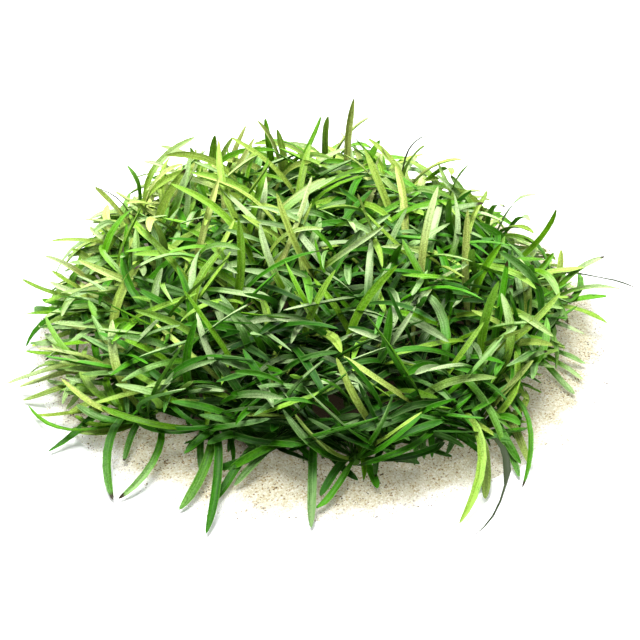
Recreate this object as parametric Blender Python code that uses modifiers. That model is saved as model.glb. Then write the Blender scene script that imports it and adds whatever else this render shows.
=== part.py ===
"""Dwarf cryptocoryne: a low, dense mound of small leafy rosettes rooted in a patch of pale sand.

Metres, +Z up. The origin is on the flat underside of the sand, in the middle of the patch, and -Y is the front.
Each rosette is one grown piece: a stubby rootstock whose upper faces are drawn out into narrow, keeled leaves.
The rootstock stands in a pocket of the sand. Leaves of different rosettes pass beside each other without touching.
"""

import itertools
import math
import random
from collections import namedtuple

import bmesh
import bpy
from mathutils import Matrix, Vector
from mathutils.bvhtree import BVHTree

# The sand patch
SAND_RADIUS_X = 0.142
SAND_RADIUS_Y = 0.133
SAND_LIP = 0.0016
SAND_RISE = 0.0105
SAND_FALL_POWER = 2.6
SAND_STEPS = 28
SAND_RINGS = (0.0, 0.36, 0.6, 0.8, 0.94)
RIM_WOBBLE = ((3, 0.018, 0.6), (5, 0.014, 2.1), (8, 0.009, 4.0))

# The rosettes, laid out like seeds in a sunflower
ROSETTES = 58
GOLDEN_ANGLE = math.radians(137.508)
MAT_RADIUS_X = 0.116
MAT_RADIUS_Y = 0.109
MAT_REACH_X = 0.155
MAT_REACH_Y = 0.142
PLACE_JITTER = 0.0035
EDGE_LEAN = math.radians(28)
EDGE_FAN = 0.35
SEED = 20

# One rootstock
STOCK_RADIUS = 0.0028
STOCK_STRETCH = 1.9
FACE_REACH = math.cos(math.radians(60))
STOCK_LIFT = 0.0014
POCKET_SIDES = 6
POCKET_DEPTH = 0.0068
POCKET_SLOPE = 0.90
POCKET_ABOVE = 0.003

# One leaf. A leaf's angles are measured from the vertical, at its foot and at its tip
LEAVES_PER_ROSETTE = 9
LENGTH_MIDDLE = 0.074
LENGTH_EDGE = 0.056
BLADE_WIDTH = 0.0041
SIDE_BOW = 0.18
KEEL_DEPTH = 0.0010
PLAIN_STATIONS = ((0.24, 0.66, 1.2), (0.80, 0.98, 0.9))
BENT_STATIONS = ((0.20, 0.60, 1.2), (0.53, 1.0, 1.0), (0.85, 0.92, 0.8))
PLAIN_BEND = math.radians(32)
UPRIGHT_SHARE = 0.15
HANDLE_SHARE = 0.38
PATH_STEPS = 18
GROUND_GAP = 0.0020
CORNER_GAP = 0.0004
STALK_PARTED = 0.25
CLEAR_OF_OWN = 0.00010
CLEAR_OF_OTHERS = 0.00035
STOCK_CLEARANCE = 0.0062
TRIES = 140
LATE_SHORTENING = 0.35
TALLEST = 0.074
NEIGHBOURS = 0.20

# The view of the reference picture, which places the leaves that make the outline
PICTURE_SIDE = 640
PICTURE_SPAN = 0.320
VIEW_ELEVATION = math.radians(40)
VIEW_DISTANCE = 0.90
VIEW_TARGET = Vector((0.0, 0.0, 0.006))

# How far the close part of the mat reaches in the picture, in pixels from its middle, clockwise from the right.
# Leaves fall short of it or pass it by up to the slack
EDGE_SLACK = (-12, 12)
CROWN_MARGIN = 18
CROWN_STEP = 0.97
MAT_EDGE = (
    240, 236, 224, 226, 201, 174, 158, 164, 166, 146, 156, 178, 182, 220, 266, 290,
    270, 250, 246, 218, 226, 210, 196, 186, 176, 186, 184, 186, 198, 199, 207, 248,
)

LEAF_COLOUR = (0.12, 0.30, 0.05, 1.0)
SAND_COLOUR = (0.80, 0.74, 0.62, 1.0)

Leaf = namedtuple("Leaf", "root tip foot_angle tip_angle twist width bow")
Crown = namedtuple("Crown", "place share heading")

# Leaves of the outline: tip pixel, pixel of the foot on the sand, tip height, angles in degrees, sideways bow to
# the left of the way the leaf heads as a share of its reach, and width as a share of the usual
OutlineLeaf = namedtuple("OutlineLeaf", "name tip foot height foot_angle tip_angle bow width")
OUTLINE_FEET = 7
OUTLINE_NUDGES = ((0, 0, 0.0), (8, 8, 0.05), (-8, -8, -0.05), (14, -6, 0.09), (-10, 14, -0.09))
OUTLINE = [
    OutlineLeaf("left_low_tip", (6, 384), (95, 372), 0.008, 40, 112, 0.0, 0.8),
    OutlineLeaf("left_low_under", (19, 387), (100, 380), 0.004, 45, 112, 0.0, 0.9),
    OutlineLeaf("left_low_third", (22, 400), (112, 388), 0.002, 48, 108, 0.06, 0.9),
    OutlineLeaf("left_low_small", (34, 415), (95, 385), 0.002, 50, 110, 0.08, 0.7),
    OutlineLeaf("left_hook", (28, 405), (122, 398), 0.002, 60, 96, 0.26, 0.5),
    OutlineLeaf("left_big_dark", (47, 452), (118, 372), 0.002, 40, 112, 0.12, 1.0),
    OutlineLeaf("left_band", (66, 412), (170, 365), 0.003, 32, 125, -0.04, 1.0),
    OutlineLeaf("left_low_dark", (81, 435), (120, 385), 0.002, 45, 112, 0.08, 0.8),
    OutlineLeaf("left_low_drop", (96, 436), (128, 390), 0.002, 40, 115, 0.08, 0.8),
    OutlineLeaf("front_left_hanger", (113, 500), (152, 425), 0.002, 35, 120, -0.16, 1.0),
    OutlineLeaf("front_left_hook", (118, 499), (150, 430), 0.002, 45, 108, 0.24, 0.9),
    OutlineLeaf("front_left_yellow", (124, 463), (165, 425), 0.003, 40, 115, 0.04, 0.8),
    OutlineLeaf("front_left_blade", (179, 510), (203, 440), 0.002, 38, 115, 0.04, 1.15),
    OutlineLeaf("front_left_pale", (184, 454), (262, 425), 0.014, 40, 112, 0.0, 1.0),
    OutlineLeaf("front_star_dark", (213, 507), (255, 450), 0.002, 48, 105, -0.05, 1.0),
    OutlineLeaf("front_star_long", (206, 534), (230, 455), 0.002, 42, 112, 0.08, 1.0),
    OutlineLeaf("front_star_pale", (234, 486), (208, 440), 0.006, 30, 125, 0.0, 1.0),
    OutlineLeaf("front_star_small", (204, 480), (228, 445), 0.003, 40, 118, 0.0, 0.8),
    OutlineLeaf("front_middle_left", (236, 466), (292, 442), 0.008, 42, 110, -0.04, 1.05),
    OutlineLeaf("front_middle_high", (243, 453), (312, 425), 0.014, 42, 105, 0.0, 1.0),
    OutlineLeaf("front_spear", (311, 528), (303, 450), 0.002, 38, 112, 0.0, 1.0),
    OutlineLeaf("front_spear_dark", (316, 512), (340, 452), 0.002, 45, 110, 0.04, 0.8),
    OutlineLeaf("front_spear_pale", (320, 496), (306, 440), 0.006, 20, 128, 0.0, 1.0),
    OutlineLeaf("front_right_low", (358, 488), (318, 445), 0.002, 48, 105, -0.06, 1.0),
    OutlineLeaf("front_right_fork", (377, 493), (358, 445), 0.003, 35, 115, 0.03, 1.0),
    OutlineLeaf("front_right_twin", (362, 470), (392, 440), 0.004, 40, 115, 0.0, 0.9),
    OutlineLeaf("front_right_thin", (479, 537), (455, 455), 0.002, 45, 112, 0.22, 0.45),
    OutlineLeaf("front_ledge", (452, 462), (385, 448), 0.003, 45, 100, 0.05, 0.9),
    OutlineLeaf("front_bow", (459, 524), (412, 447), 0.002, 35, 125, 0.27, 1.0),
    OutlineLeaf("front_right_dark", (485, 499), (445, 447), 0.002, 42, 115, 0.06, 1.15),
    OutlineLeaf("front_right_under", (476, 490), (440, 450), 0.002, 42, 115, 0.03, 1.0),
    OutlineLeaf("right_front_first", (519, 477), (455, 440), 0.002, 42, 108, 0.08, 0.9),
    OutlineLeaf("right_front_second", (522, 488), (488, 425), 0.002, 38, 120, 0.20, 0.6),
    OutlineLeaf("right_front_third", (531, 467), (462, 405), 0.002, 32, 125, 0.06, 1.0),
    OutlineLeaf("right_front_hanging", (521, 464), (520, 395), 0.003, 25, 140, -0.05, 1.05),
    OutlineLeaf("right_pale_bow", (504, 449), (462, 408), 0.010, 30, 135, 0.14, 0.9),
    OutlineLeaf("right_low_first", (574, 400), (520, 382), 0.002, 45, 112, 0.05, 0.9),
    OutlineLeaf("right_low_second", (582, 385), (532, 372), 0.002, 48, 110, 0.04, 0.8),
    OutlineLeaf("right_low_third", (586, 364), (530, 362), 0.005, 42, 122, 0.02, 0.9),
    OutlineLeaf("right_level", (585, 334), (520, 342), 0.016, 50, 98, 0.0, 0.7),
    OutlineLeaf("right_yellow_arch", (608, 323), (545, 335), 0.010, 38, 118, 0.0, 0.8),
    OutlineLeaf("right_straight", (607, 296), (542, 328), 0.022, 55, 76, 0.0, 0.95),
    OutlineLeaf("right_far", (621, 289), (552, 298), 0.016, 48, 108, 0.05, 0.8),
    OutlineLeaf("right_strand", (635, 284), (560, 300), 0.016, 48, 95, 0.03, 0.24),
    OutlineLeaf("right_upper_arch", (605, 256), (540, 290), 0.030, 35, 92, 0.0, 0.9),
    OutlineLeaf("right_upper_short", (584, 267), (540, 300), 0.028, 42, 72, 0.0, 1.0),
    OutlineLeaf("right_spear", (556, 209), (545, 290), 0.052, 12, 4, 0.0, 1.0),
    OutlineLeaf("right_back_arch", (534, 233), (475, 255), 0.042, 35, 85, 0.0, 0.9),
    OutlineLeaf("right_back_pale", (530, 221), (470, 250), 0.046, 35, 88, 0.0, 0.8),
    OutlineLeaf("right_back_high", (538, 195), (480, 245), 0.050, 35, 78, 0.0, 0.95),
    OutlineLeaf("right_back_thin", (505, 207), (450, 235), 0.048, 35, 88, 0.0, 0.8),
    OutlineLeaf("right_back_level", (482, 191), (425, 220), 0.046, 35, 90, 0.0, 0.7),
    OutlineLeaf("right_tall", (469, 164), (448, 240), 0.060, 12, 30, 0.0, 0.85),
    OutlineLeaf("top_right_arch", (462, 159), (415, 215), 0.050, 25, 78, 0.0, 0.7),
    OutlineLeaf("top_right_strand", (434, 133), (362, 205), 0.058, 15, 80, 0.0, 0.26),
    OutlineLeaf("top_right_olive", (425, 145), (375, 210), 0.055, 30, 60, 0.0, 0.9),
    OutlineLeaf("top_right_broad", (380, 140), (358, 215), 0.052, 15, 28, 0.0, 1.15),
    OutlineLeaf("top_spear", (354, 98), (354, 205), 0.072, 3, 2, 0.0, 0.9),
    OutlineLeaf("top_arch", (369, 117), (336, 205), 0.060, 10, 55, 0.0, 0.9),
    OutlineLeaf("top_left_lean", (328, 116), (350, 205), 0.062, 15, 25, 0.0, 0.9),
    OutlineLeaf("top_right_lean", (321, 116), (295, 205), 0.060, 8, 42, 0.0, 0.9),
    OutlineLeaf("top_olive", (277, 129), (296, 205), 0.056, 15, 25, 0.0, 0.95),
    OutlineLeaf("top_pair_first", (265, 118), (288, 205), 0.060, 14, 24, 0.0, 1.0),
    OutlineLeaf("top_pair_second", (257, 120), (300, 215), 0.064, 22, 18, 0.0, 0.95),
    OutlineLeaf("top_left_bent", (246, 125), (238, 205), 0.055, 6, 38, 0.0, 0.8),
    OutlineLeaf("top_left_lime", (233, 137), (262, 205), 0.050, 20, 50, 0.0, 0.8),
    OutlineLeaf("top_left_upright", (215, 135), (216, 210), 0.052, 4, 4, 0.0, 1.05),
    OutlineLeaf("left_back_twin", (190, 147), (192, 225), 0.052, 3, 2, 0.0, 0.9),
    OutlineLeaf("left_back_second", (196, 148), (206, 225), 0.052, 10, 4, 0.0, 0.9),
    OutlineLeaf("left_back_level", (143, 161), (205, 215), 0.042, 38, 88, 0.0, 0.95),
    OutlineLeaf("left_back_rise", (127, 165), (180, 230), 0.050, 38, 50, 0.0, 0.9),
    OutlineLeaf("left_spear", (95, 187), (135, 275), 0.056, 22, 18, 0.0, 1.1),
    OutlineLeaf("left_broad", (115, 191), (180, 250), 0.050, 40, 60, 0.0, 1.0),
    OutlineLeaf("left_strand", (101, 190), (150, 235), 0.050, 40, 55, 0.0, 0.26),
    OutlineLeaf("left_upper_high", (84, 219), (125, 265), 0.040, 35, 60, 0.0, 0.8),
    OutlineLeaf("left_upper_first", (51, 241), (120, 272), 0.034, 42, 88, 0.0, 0.8),
    OutlineLeaf("left_upper_second", (45, 256), (112, 282), 0.028, 48, 88, 0.0, 0.9),
    OutlineLeaf("left_upper_third", (51, 270), (108, 298), 0.026, 48, 70, 0.0, 0.8),
    OutlineLeaf("left_far", (22, 279), (95, 322), 0.026, 55, 66, 0.0, 0.95),
    OutlineLeaf("left_curl", (26, 313), (100, 308), 0.006, 45, 125, 0.12, 0.6),
    OutlineLeaf("left_low_lime", (44, 303), (110, 308), 0.018, 40, 108, 0.0, 0.8),
    OutlineLeaf("left_mid_pale", (44, 318), (112, 325), 0.014, 42, 108, 0.0, 0.9),
    OutlineLeaf("left_mid_flat", (38, 326), (95, 340), 0.010, 42, 105, 0.0, 0.8),
    OutlineLeaf("left_drop", (31, 346), (92, 350), 0.006, 42, 115, 0.06, 0.9),
    OutlineLeaf("left_drop_grey", (25, 351), (90, 362), 0.006, 50, 98, 0.0, 0.7),
]


def rim(angle):
    """The sand's outer radius in a direction: an oval with an uneven edge."""
    waves = sum(share * math.cos(lobes * angle + phase) for lobes, share, phase in RIM_WOBBLE)
    oval = math.hypot(SAND_RADIUS_Y * math.cos(angle), SAND_RADIUS_X * math.sin(angle))
    return SAND_RADIUS_X * SAND_RADIUS_Y / oval * (1 + waves)


def sand_height(x, y):
    """The height of the sand's top above the underside, and 0 past its rim."""
    share = math.hypot(x, y) / rim(math.atan2(y, x))
    if share >= 1:
        return 0.0
    return SAND_LIP + SAND_RISE * (1 - share**SAND_FALL_POWER)


def seen_at(pixel, height):
    """The point at a height that the reference picture shows at a pixel."""
    back = Vector((0, -math.cos(VIEW_ELEVATION), math.sin(VIEW_ELEVATION)))
    up = Vector((0, math.sin(VIEW_ELEVATION), math.cos(VIEW_ELEVATION)))
    eye = VIEW_TARGET + VIEW_DISTANCE * back
    step = PICTURE_SPAN / PICTURE_SIDE
    across = (pixel[0] - PICTURE_SIDE / 2) * step
    above = (PICTURE_SIDE / 2 - pixel[1]) * step
    ray = Vector((across, 0, 0)) + above * up - VIEW_DISTANCE * back
    return eye + ray * ((height - eye.z) / ray.z)


def seen_from(point):
    """The pixel at which the reference picture shows a point."""
    back = Vector((0, -math.cos(VIEW_ELEVATION), math.sin(VIEW_ELEVATION)))
    up = Vector((0, math.sin(VIEW_ELEVATION), math.cos(VIEW_ELEVATION)))
    ray = point - VIEW_TARGET - VIEW_DISTANCE * back
    scale = VIEW_DISTANCE / -ray.dot(back) * PICTURE_SIDE / PICTURE_SPAN
    return PICTURE_SIDE / 2 + ray.x * scale, PICTURE_SIDE / 2 - ray.dot(up) * scale


def is_in_mat(point, slack):
    """True if the picture would show the point within the close part of the mat, give or take some pixels."""
    column, row = seen_from(point)
    across, down = column - PICTURE_SIDE / 2, row - PICTURE_SIDE / 2
    step = math.atan2(down, across) / math.tau * len(MAT_EDGE) % len(MAT_EDGE)
    low = int(step) % len(MAT_EDGE)
    high = (low + 1) % len(MAT_EDGE)
    edge = MAT_EDGE[low] + (MAT_EDGE[high] - MAT_EDGE[low]) * (step - int(step))
    return math.hypot(across, down) <= edge + slack


def crowns():
    """Where the rosettes stand: place on the sand, share of the way to the mat's edge, and outward heading."""
    draw = random.Random(SEED)
    found = []
    for index in range(ROSETTES):
        share = math.sqrt((index + 0.5) / ROSETTES)
        heading = index * GOLDEN_ANGLE
        x = MAT_RADIUS_X * share * math.cos(heading) + draw.uniform(-PLACE_JITTER, PLACE_JITTER)
        y = MAT_RADIUS_Y * share * math.sin(heading) + draw.uniform(-PLACE_JITTER, PLACE_JITTER)
        while not is_in_mat(Vector((x, y, sand_height(x, y))), -CROWN_MARGIN):
            x, y = x * CROWN_STEP, y * CROWN_STEP
        place = Vector((x, y, sand_height(x, y) + STOCK_LIFT))
        found.append(Crown(place, share, math.atan2(y, x)))
    return found


def direction(heading, angle):
    """The unit vector that leans by an angle from the vertical towards a heading."""
    level = Vector((math.cos(heading), math.sin(heading), 0))
    return level * math.sin(angle) + Vector((0, 0, math.cos(angle)))


def path_of(leaf):
    """Points along a leaf's midrib, on a cubic curve from root to tip, bowed sideways, that stays off the ground."""
    across = leaf.tip - leaf.root
    heading = math.atan2(across.y, across.x)
    sideways = direction(heading + math.pi / 2, math.pi / 2) * leaf.bow * across.length
    first = leaf.root + direction(heading, leaf.foot_angle) * HANDLE_SHARE * across.length
    second = leaf.tip - direction(heading, leaf.tip_angle) * HANDLE_SHARE * across.length
    points = []
    for step in range(PATH_STEPS + 1):
        t = step / PATH_STEPS
        point = (
            leaf.root * (1 - t) ** 3
            + first * 3 * t * (1 - t) ** 2
            + second * 3 * t * t * (1 - t)
            + leaf.tip * t**3
            + sideways * 4 * t * (1 - t)
        )
        point.z = max(point.z, sand_height(point.x, point.y) + GROUND_GAP)
        points.append(point)
    return points


def section(leaf, path, station, width_share, depth_share, grow=0.0):
    """A leaf's triangular section at a station: right edge, left edge and keel."""
    position = station * PATH_STEPS
    low = min(int(position), PATH_STEPS - 1)
    centre = path[low].lerp(path[low + 1], position - low)
    along = (path[low + 1] - path[max(low - 1, 0)]).normalized()
    across = leaf.tip - leaf.root
    side = Vector((-across.y, across.x, 0)).normalized()
    side = (side - along * side.dot(along)).normalized()
    side.rotate(Matrix.Rotation(leaf.twist * station, 3, along))
    face = along.cross(side)
    half = side * (leaf.width * width_share / 2 + grow)
    keel = face * (KEEL_DEPTH * depth_share + grow)
    return centre + half + face * grow, centre - half + face * grow, centre - keel


def leaf_sections(leaf, grow=0.0):
    """The sections at every station, foot to tip. A leaf that hardly bends has one station fewer."""
    path = path_of(leaf)
    plain = abs(leaf.tip_angle - leaf.foot_angle) < PLAIN_BEND
    stations = PLAIN_STATIONS if plain else BENT_STATIONS
    return [section(leaf, path, station, wide, deep, grow) for station, wide, deep in stations]


def stock_faces():
    """The rootstock's upward faces, each as its three corners measured from the middle of the rootstock."""
    bm = bmesh.new()
    bmesh.ops.create_icosphere(bm, subdivisions=1, radius=STOCK_RADIUS)
    faces = [[vert.co.copy() for vert in face.verts] for face in upward_faces(bm)]
    bm.free()
    return faces


def upward_faces(bm):
    """The faces of an unstretched rootstock that leaves can be drawn out of."""
    return [face for face in bm.faces if face.calc_center_median().z > 0]


def matched(base, ring):
    """A ring's corners in the order that lies nearest to the corners of a base."""
    orders = [[ring[(i + shift) % 3] for i in range(3)] for shift in range(3)]
    return min(orders, key=lambda order: sum((a - b).length for a, b in zip(order, base)))


def leaf_skin(leaf, base, grow=0.0):
    """The open skin of a leaf from its base on the rootstock to its tip: points and triangles.

    Each four-cornered face counts with both its diagonals, because it is hardly ever flat.
    """
    rings = [base]
    for ring in leaf_sections(leaf, grow):
        rings.append(matched(rings[-1], ring))
    points = [corner for ring in rings for corner in ring] + [path_of(leaf)[-1]]
    faces = []
    for low in range(0, 3 * len(rings) - 3, 3):
        for corner in range(3):
            a, b = low + corner, low + (corner + 1) % 3
            faces += [(a, b, b + 3), (a, b + 3, a + 3), (a, b, a + 3), (b, b + 3, a + 3)]
    last, end = 3 * len(rings) - 3, len(points) - 1
    faces += [(last + corner, last + (corner + 1) % 3, end) for corner in range(3)]
    return points, faces


def blade_tree(leaf, base, grow):
    """A search tree over the leaf from a little way up its stalk, where it has parted from its neighbours."""
    first = matched(base, leaf_sections(leaf)[0])
    parted = [a.lerp(b, STALK_PARTED) for a, b in zip(base, first)]
    return BVHTree.FromPolygons(*leaf_skin(leaf, parted, grow))


def share_a_corner(first, second):
    """True if two faces, each a list of points, have a corner in common."""
    return any((a - b).length < 1e-7 for a in first for b in second)


class Mat:
    """The leaves placed so far, by rosette, with what is needed to keep them apart."""

    def __init__(self, places):
        self.places = places
        self.faces = stock_faces()
        self.leaves = [[] for _ in places]
        self.skins = [[] for _ in places]
        self.blades = [[] for _ in places]

    def is_off_sand(self, leaf, base):
        """True if no corner of the leaf, nor the middle of its stalk, comes down to the sand."""
        rings = leaf_sections(leaf)
        middle = [(a + b) / 2 for a, b in zip(base, matched(base, rings[0]))]
        corners = [corner for ring in [middle, *rings] for corner in ring]
        return all(corner.z > sand_height(corner.x, corner.y) + CORNER_GAP for corner in corners)

    def is_clear_of_own(self, owner, leaf, base):
        """True if the leaf crosses none of its own rosette's, with which it may share a corner of the rootstock."""
        blade = blade_tree(leaf, base, CLEAR_OF_OWN)
        if any(blade.overlap(other) for other in self.blades[owner]):
            return False
        points, faces = leaf_skin(leaf, base)
        tree = BVHTree.FromPolygons(points, faces)
        if any(not set(faces[a]) & set(faces[b]) for a, b in tree.overlap(tree)):
            return False
        for (other_points, other_faces), other_tree in self.skins[owner]:
            for mine, theirs in tree.overlap(other_tree):
                first = [points[i] for i in faces[mine]]
                second = [other_points[i] for i in other_faces[theirs]]
                if not share_a_corner(first, second):
                    return False
        return True

    def is_clear_of_others(self, owner, leaf, base):
        """True if the leaf keeps its distance from the leaves and rootstocks of other rosettes."""
        tree = BVHTree.FromPolygons(*leaf_skin(leaf, base, CLEAR_OF_OTHERS))
        path = path_of(leaf)
        for index, crown in enumerate(self.places):
            if index == owner or (crown.place - leaf.root).length > NEIGHBOURS:
                continue
            if any((point - crown.place).length < STOCK_CLEARANCE for point in path):
                return False
            if any(tree.overlap(other) for _, other in self.skins[index]):
                return False
        return True

    def face_for(self, owner, leaf):
        """The free face of the rootstock that looks most nearly the leaf's way, or None if none is near it."""
        used = {face for face, _ in self.leaves[owner]}
        way = (path_of(leaf)[3] - leaf.root).normalized()
        free = [face for face in range(len(self.faces)) if face not in used]
        if not free:
            return None
        best = max(free, key=lambda face: sum(self.faces[face], Vector()).normalized().dot(way))
        return best if sum(self.faces[best], Vector()).normalized().dot(way) > FACE_REACH else None

    def add(self, owner, leaf):
        """Places the leaf if there is room for it, and says so."""
        face = self.face_for(owner, leaf)
        if face is None:
            return False
        base = [leaf.root + corner for corner in self.faces[face]]
        if not self.is_off_sand(leaf, base) or not self.is_clear_of_own(owner, leaf, base):
            return False
        if not self.is_clear_of_others(owner, leaf, base):
            return False
        skin = leaf_skin(leaf, base)
        self.leaves[owner].append((face, leaf))
        self.skins[owner].append((skin, BVHTree.FromPolygons(*skin)))
        self.blades[owner].append(blade_tree(leaf, base, 0.0))
        return True


def arched_leaf(crown, heading, foot_angle, tip_angle, length, twist, width, bow):
    """A leaf of a given length whose angle turns evenly from foot to tip."""
    turn = tip_angle - foot_angle
    reach = length * (math.cos(foot_angle) - math.cos(tip_angle)) / turn
    rise = length * (math.sin(tip_angle) - math.sin(foot_angle)) / turn
    level = Vector((math.cos(heading), math.sin(heading), 0))
    tip = crown.place + level * reach + Vector((0, 0, rise))
    tip.z = max(tip.z, sand_height(tip.x, tip.y) + GROUND_GAP)
    return Leaf(crown.place.copy(), tip, foot_angle, tip_angle, twist, width, bow)


def fanned(crown, turn):
    """A heading that is a turn away from outward. At the mat's edge the leaves crowd towards outward."""
    turn = math.remainder(turn, math.tau)
    return crown.heading + turn * (1 - EDGE_FAN * crown.share**2)


def lean_of(crown, heading):
    """How far the whole rosette leans towards a heading: outwards at the mat's edge."""
    return EDGE_LEAN * crown.share**2 * math.cos(heading - crown.heading)


def add_outline(mat):
    """The leaves that the reference picture shows against its background, each on the nearest rosette."""
    for wanted in OUTLINE:
        tip = seen_at(wanted.tip, wanted.height)
        foot = seen_at(wanted.foot, SAND_LIP + SAND_RISE / 2)
        order = sorted(range(len(mat.places)), key=lambda i: (mat.places[i].place - foot).length)
        for owner, nudge in itertools.product(order[:OUTLINE_FEET], OUTLINE_NUDGES):
            leaf = Leaf(
                mat.places[owner].place.copy(),
                tip,
                math.radians(max(2, wanted.foot_angle + nudge[0])),
                math.radians(wanted.tip_angle + nudge[1]),
                0.0,
                BLADE_WIDTH * wanted.width,
                wanted.bow + nudge[2],
            )
            if mat.add(owner, leaf):
                break


def add_arched(mat):
    """The other leaves, turn by turn round each rosette, from its spreading outer leaves to its upright inner ones."""
    draw = random.Random(SEED + 1)
    for turn in range(LEAVES_PER_ROSETTE):
        inner = turn / (LEAVES_PER_ROSETTE - 1)
        for owner, crown in enumerate(mat.places):
            if len(mat.leaves[owner]) >= LEAVES_PER_ROSETTE:
                continue
            for attempt in range(TRIES):
                heading = fanned(crown, turn * GOLDEN_ANGLE + draw.uniform(-0.9, 0.9))
                spread = math.radians(38 - 26 * inner + draw.uniform(-9, 9))
                foot_angle = max(math.radians(3), spread + lean_of(crown, heading))
                bend = draw.uniform(6, 24) if draw.random() < UPRIGHT_SHARE else draw.uniform(54, 110)
                tip_angle = foot_angle + math.radians(bend * (1 - 0.3 * inner))
                length = LENGTH_MIDDLE + (LENGTH_EDGE - LENGTH_MIDDLE) * crown.share**2
                length *= draw.uniform(0.84, 1.14) * (1 - LATE_SHORTENING * attempt / TRIES)
                twist = draw.uniform(-0.6, 0.6)
                width = BLADE_WIDTH * draw.uniform(0.88, 1.12)
                bow = draw.uniform(-SIDE_BOW, SIDE_BOW)
                leaf = arched_leaf(crown, heading, foot_angle, tip_angle, length, twist, width, bow)
                if math.hypot(leaf.tip.x / MAT_REACH_X, leaf.tip.y / MAT_REACH_Y) > 1 or leaf.tip.z > TALLEST:
                    continue
                slack = draw.uniform(*EDGE_SLACK)
                below = Vector((leaf.tip.x, leaf.tip.y, sand_height(leaf.tip.x, leaf.tip.y)))
                if not all(is_in_mat(point, slack) for point in [below, *path_of(leaf)[::6]]):
                    continue
                if mat.add(owner, leaf):
                    break


def material(name, colour, roughness):
    """A plain surface of one colour."""
    made = bpy.data.materials.new(name)
    made.use_nodes = True
    shader = made.node_tree.nodes["Principled BSDF"]
    shader.inputs["Base Color"].default_value = colour
    shader.inputs["Roughness"].default_value = roughness
    shader.inputs["Metallic"].default_value = 0.0
    return made


def object_of(name, mesh, collection, surface=None):
    """An object made from a mesh, in a collection."""
    made = bpy.data.objects.new(name, mesh)
    collection.objects.link(made)
    if surface:
        mesh.materials.append(surface)
    return made


def draw_out(bm, face, leaf):
    """Draws a face of the rootstock out into a leaf, section by section, and closes it at the tip."""
    for ring in leaf_sections(leaf):
        corners = matched([loop.vert.co for loop in face.loops], ring)
        face = bmesh.ops.extrude_discrete_faces(bm, faces=[face])["faces"][0]
        for loop, corner in zip(face.loops, corners):
            loop.vert.co = corner
    tip = bmesh.ops.extrude_discrete_faces(bm, faces=[face])["faces"][0]
    bmesh.ops.pointmerge(bm, verts=list(tip.verts), merge_co=path_of(leaf)[-1])


def rosette(name, crown, leaves, collection, surface):
    """One plant: a rootstock with leaves drawn out of its upward faces."""
    bm = bmesh.new()
    bmesh.ops.create_icosphere(bm, subdivisions=1, radius=STOCK_RADIUS)
    upward = upward_faces(bm)
    for vert in bm.verts:
        if vert.co.z < 0:
            vert.co.z *= STOCK_STRETCH
    bmesh.ops.translate(bm, verts=bm.verts, vec=crown.place)
    for face, leaf in leaves:
        draw_out(bm, upward[face], leaf)
    bmesh.ops.recalc_face_normals(bm, faces=bm.faces)
    mesh = bpy.data.meshes.new(name)
    bm.to_mesh(mesh)
    bm.free()
    return object_of(name, mesh, collection, surface)


def sand_profile():
    """The sand's half section for a rim radius of 1: from the top at the axis out to the lip and back underneath."""
    top = [(share, SAND_LIP + SAND_RISE * (1 - share**SAND_FALL_POWER)) for share in SAND_RINGS]
    return [*top, (1.0, SAND_LIP * 0.7), (0.997, 0.0), (0.0, 0.0)]


def turned(name, profile, steps, collection):
    """A profile in the XZ plane turned about Z."""
    mesh = bpy.data.meshes.new(name)
    points = [(x, 0.0, z) for x, z in profile]
    mesh.from_pydata(points, [(i, i + 1) for i in range(len(points) - 1)], [])
    made = object_of(name, mesh, collection)
    screw = made.modifiers.new("turn", "SCREW")
    screw.steps = steps
    screw.render_steps = steps
    screw.use_merge_vertices = True
    screw.merge_threshold = 0.00001
    return made


def baked_mesh(source, name):
    """The mesh of an object as its modifiers leave it. The object is removed."""
    graph = bpy.context.evaluated_depsgraph_get()
    mesh = bpy.data.meshes.new_from_object(source.evaluated_get(graph))
    mesh.name = name
    bpy.data.objects.remove(source)
    return mesh


def pocket_cutter(places, collection):
    """A pointed pocket for each rootstock, all in one cutter."""
    bm = bmesh.new()
    depth = POCKET_DEPTH + POCKET_ABOVE
    for crown in places:
        shift = Vector((0, 0, depth / 2 - POCKET_DEPTH))
        bmesh.ops.create_cone(
            bm,
            cap_ends=True,
            segments=POCKET_SIDES,
            radius1=0,
            radius2=depth * POCKET_SLOPE,
            depth=depth,
            matrix=Matrix.Translation(crown.place + shift),
        )
    bmesh.ops.remove_doubles(bm, verts=bm.verts, dist=0.00001)
    bmesh.ops.recalc_face_normals(bm, faces=bm.faces)
    mesh = bpy.data.meshes.new("pockets")
    bm.to_mesh(mesh)
    bm.free()
    cutter = object_of("pockets", mesh, collection)
    cutter.hide_render = True
    cutter.display_type = "WIRE"
    return cutter


def sand_bed(places, parts, cutters, surface):
    """The sand patch: a flat-bottomed heap with an uneven rim and a pocket under each rosette."""
    mesh = baked_mesh(turned("sand_turn", sand_profile(), SAND_STEPS, parts), "sand_bed")
    for vert in mesh.vertices:
        stretch = rim(math.atan2(vert.co.y, vert.co.x))
        vert.co.x *= stretch
        vert.co.y *= stretch
    sand = object_of("sand_bed", mesh, parts, surface)
    cut = sand.modifiers.new("pockets", "BOOLEAN")
    cut.operation = "DIFFERENCE"
    cut.solver = "EXACT"
    cut.object = pocket_cutter(places, cutters)
    return sand


def new_collection(name):
    """A collection in the scene."""
    made = bpy.data.collections.new(name)
    bpy.context.scene.collection.children.link(made)
    return made


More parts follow.
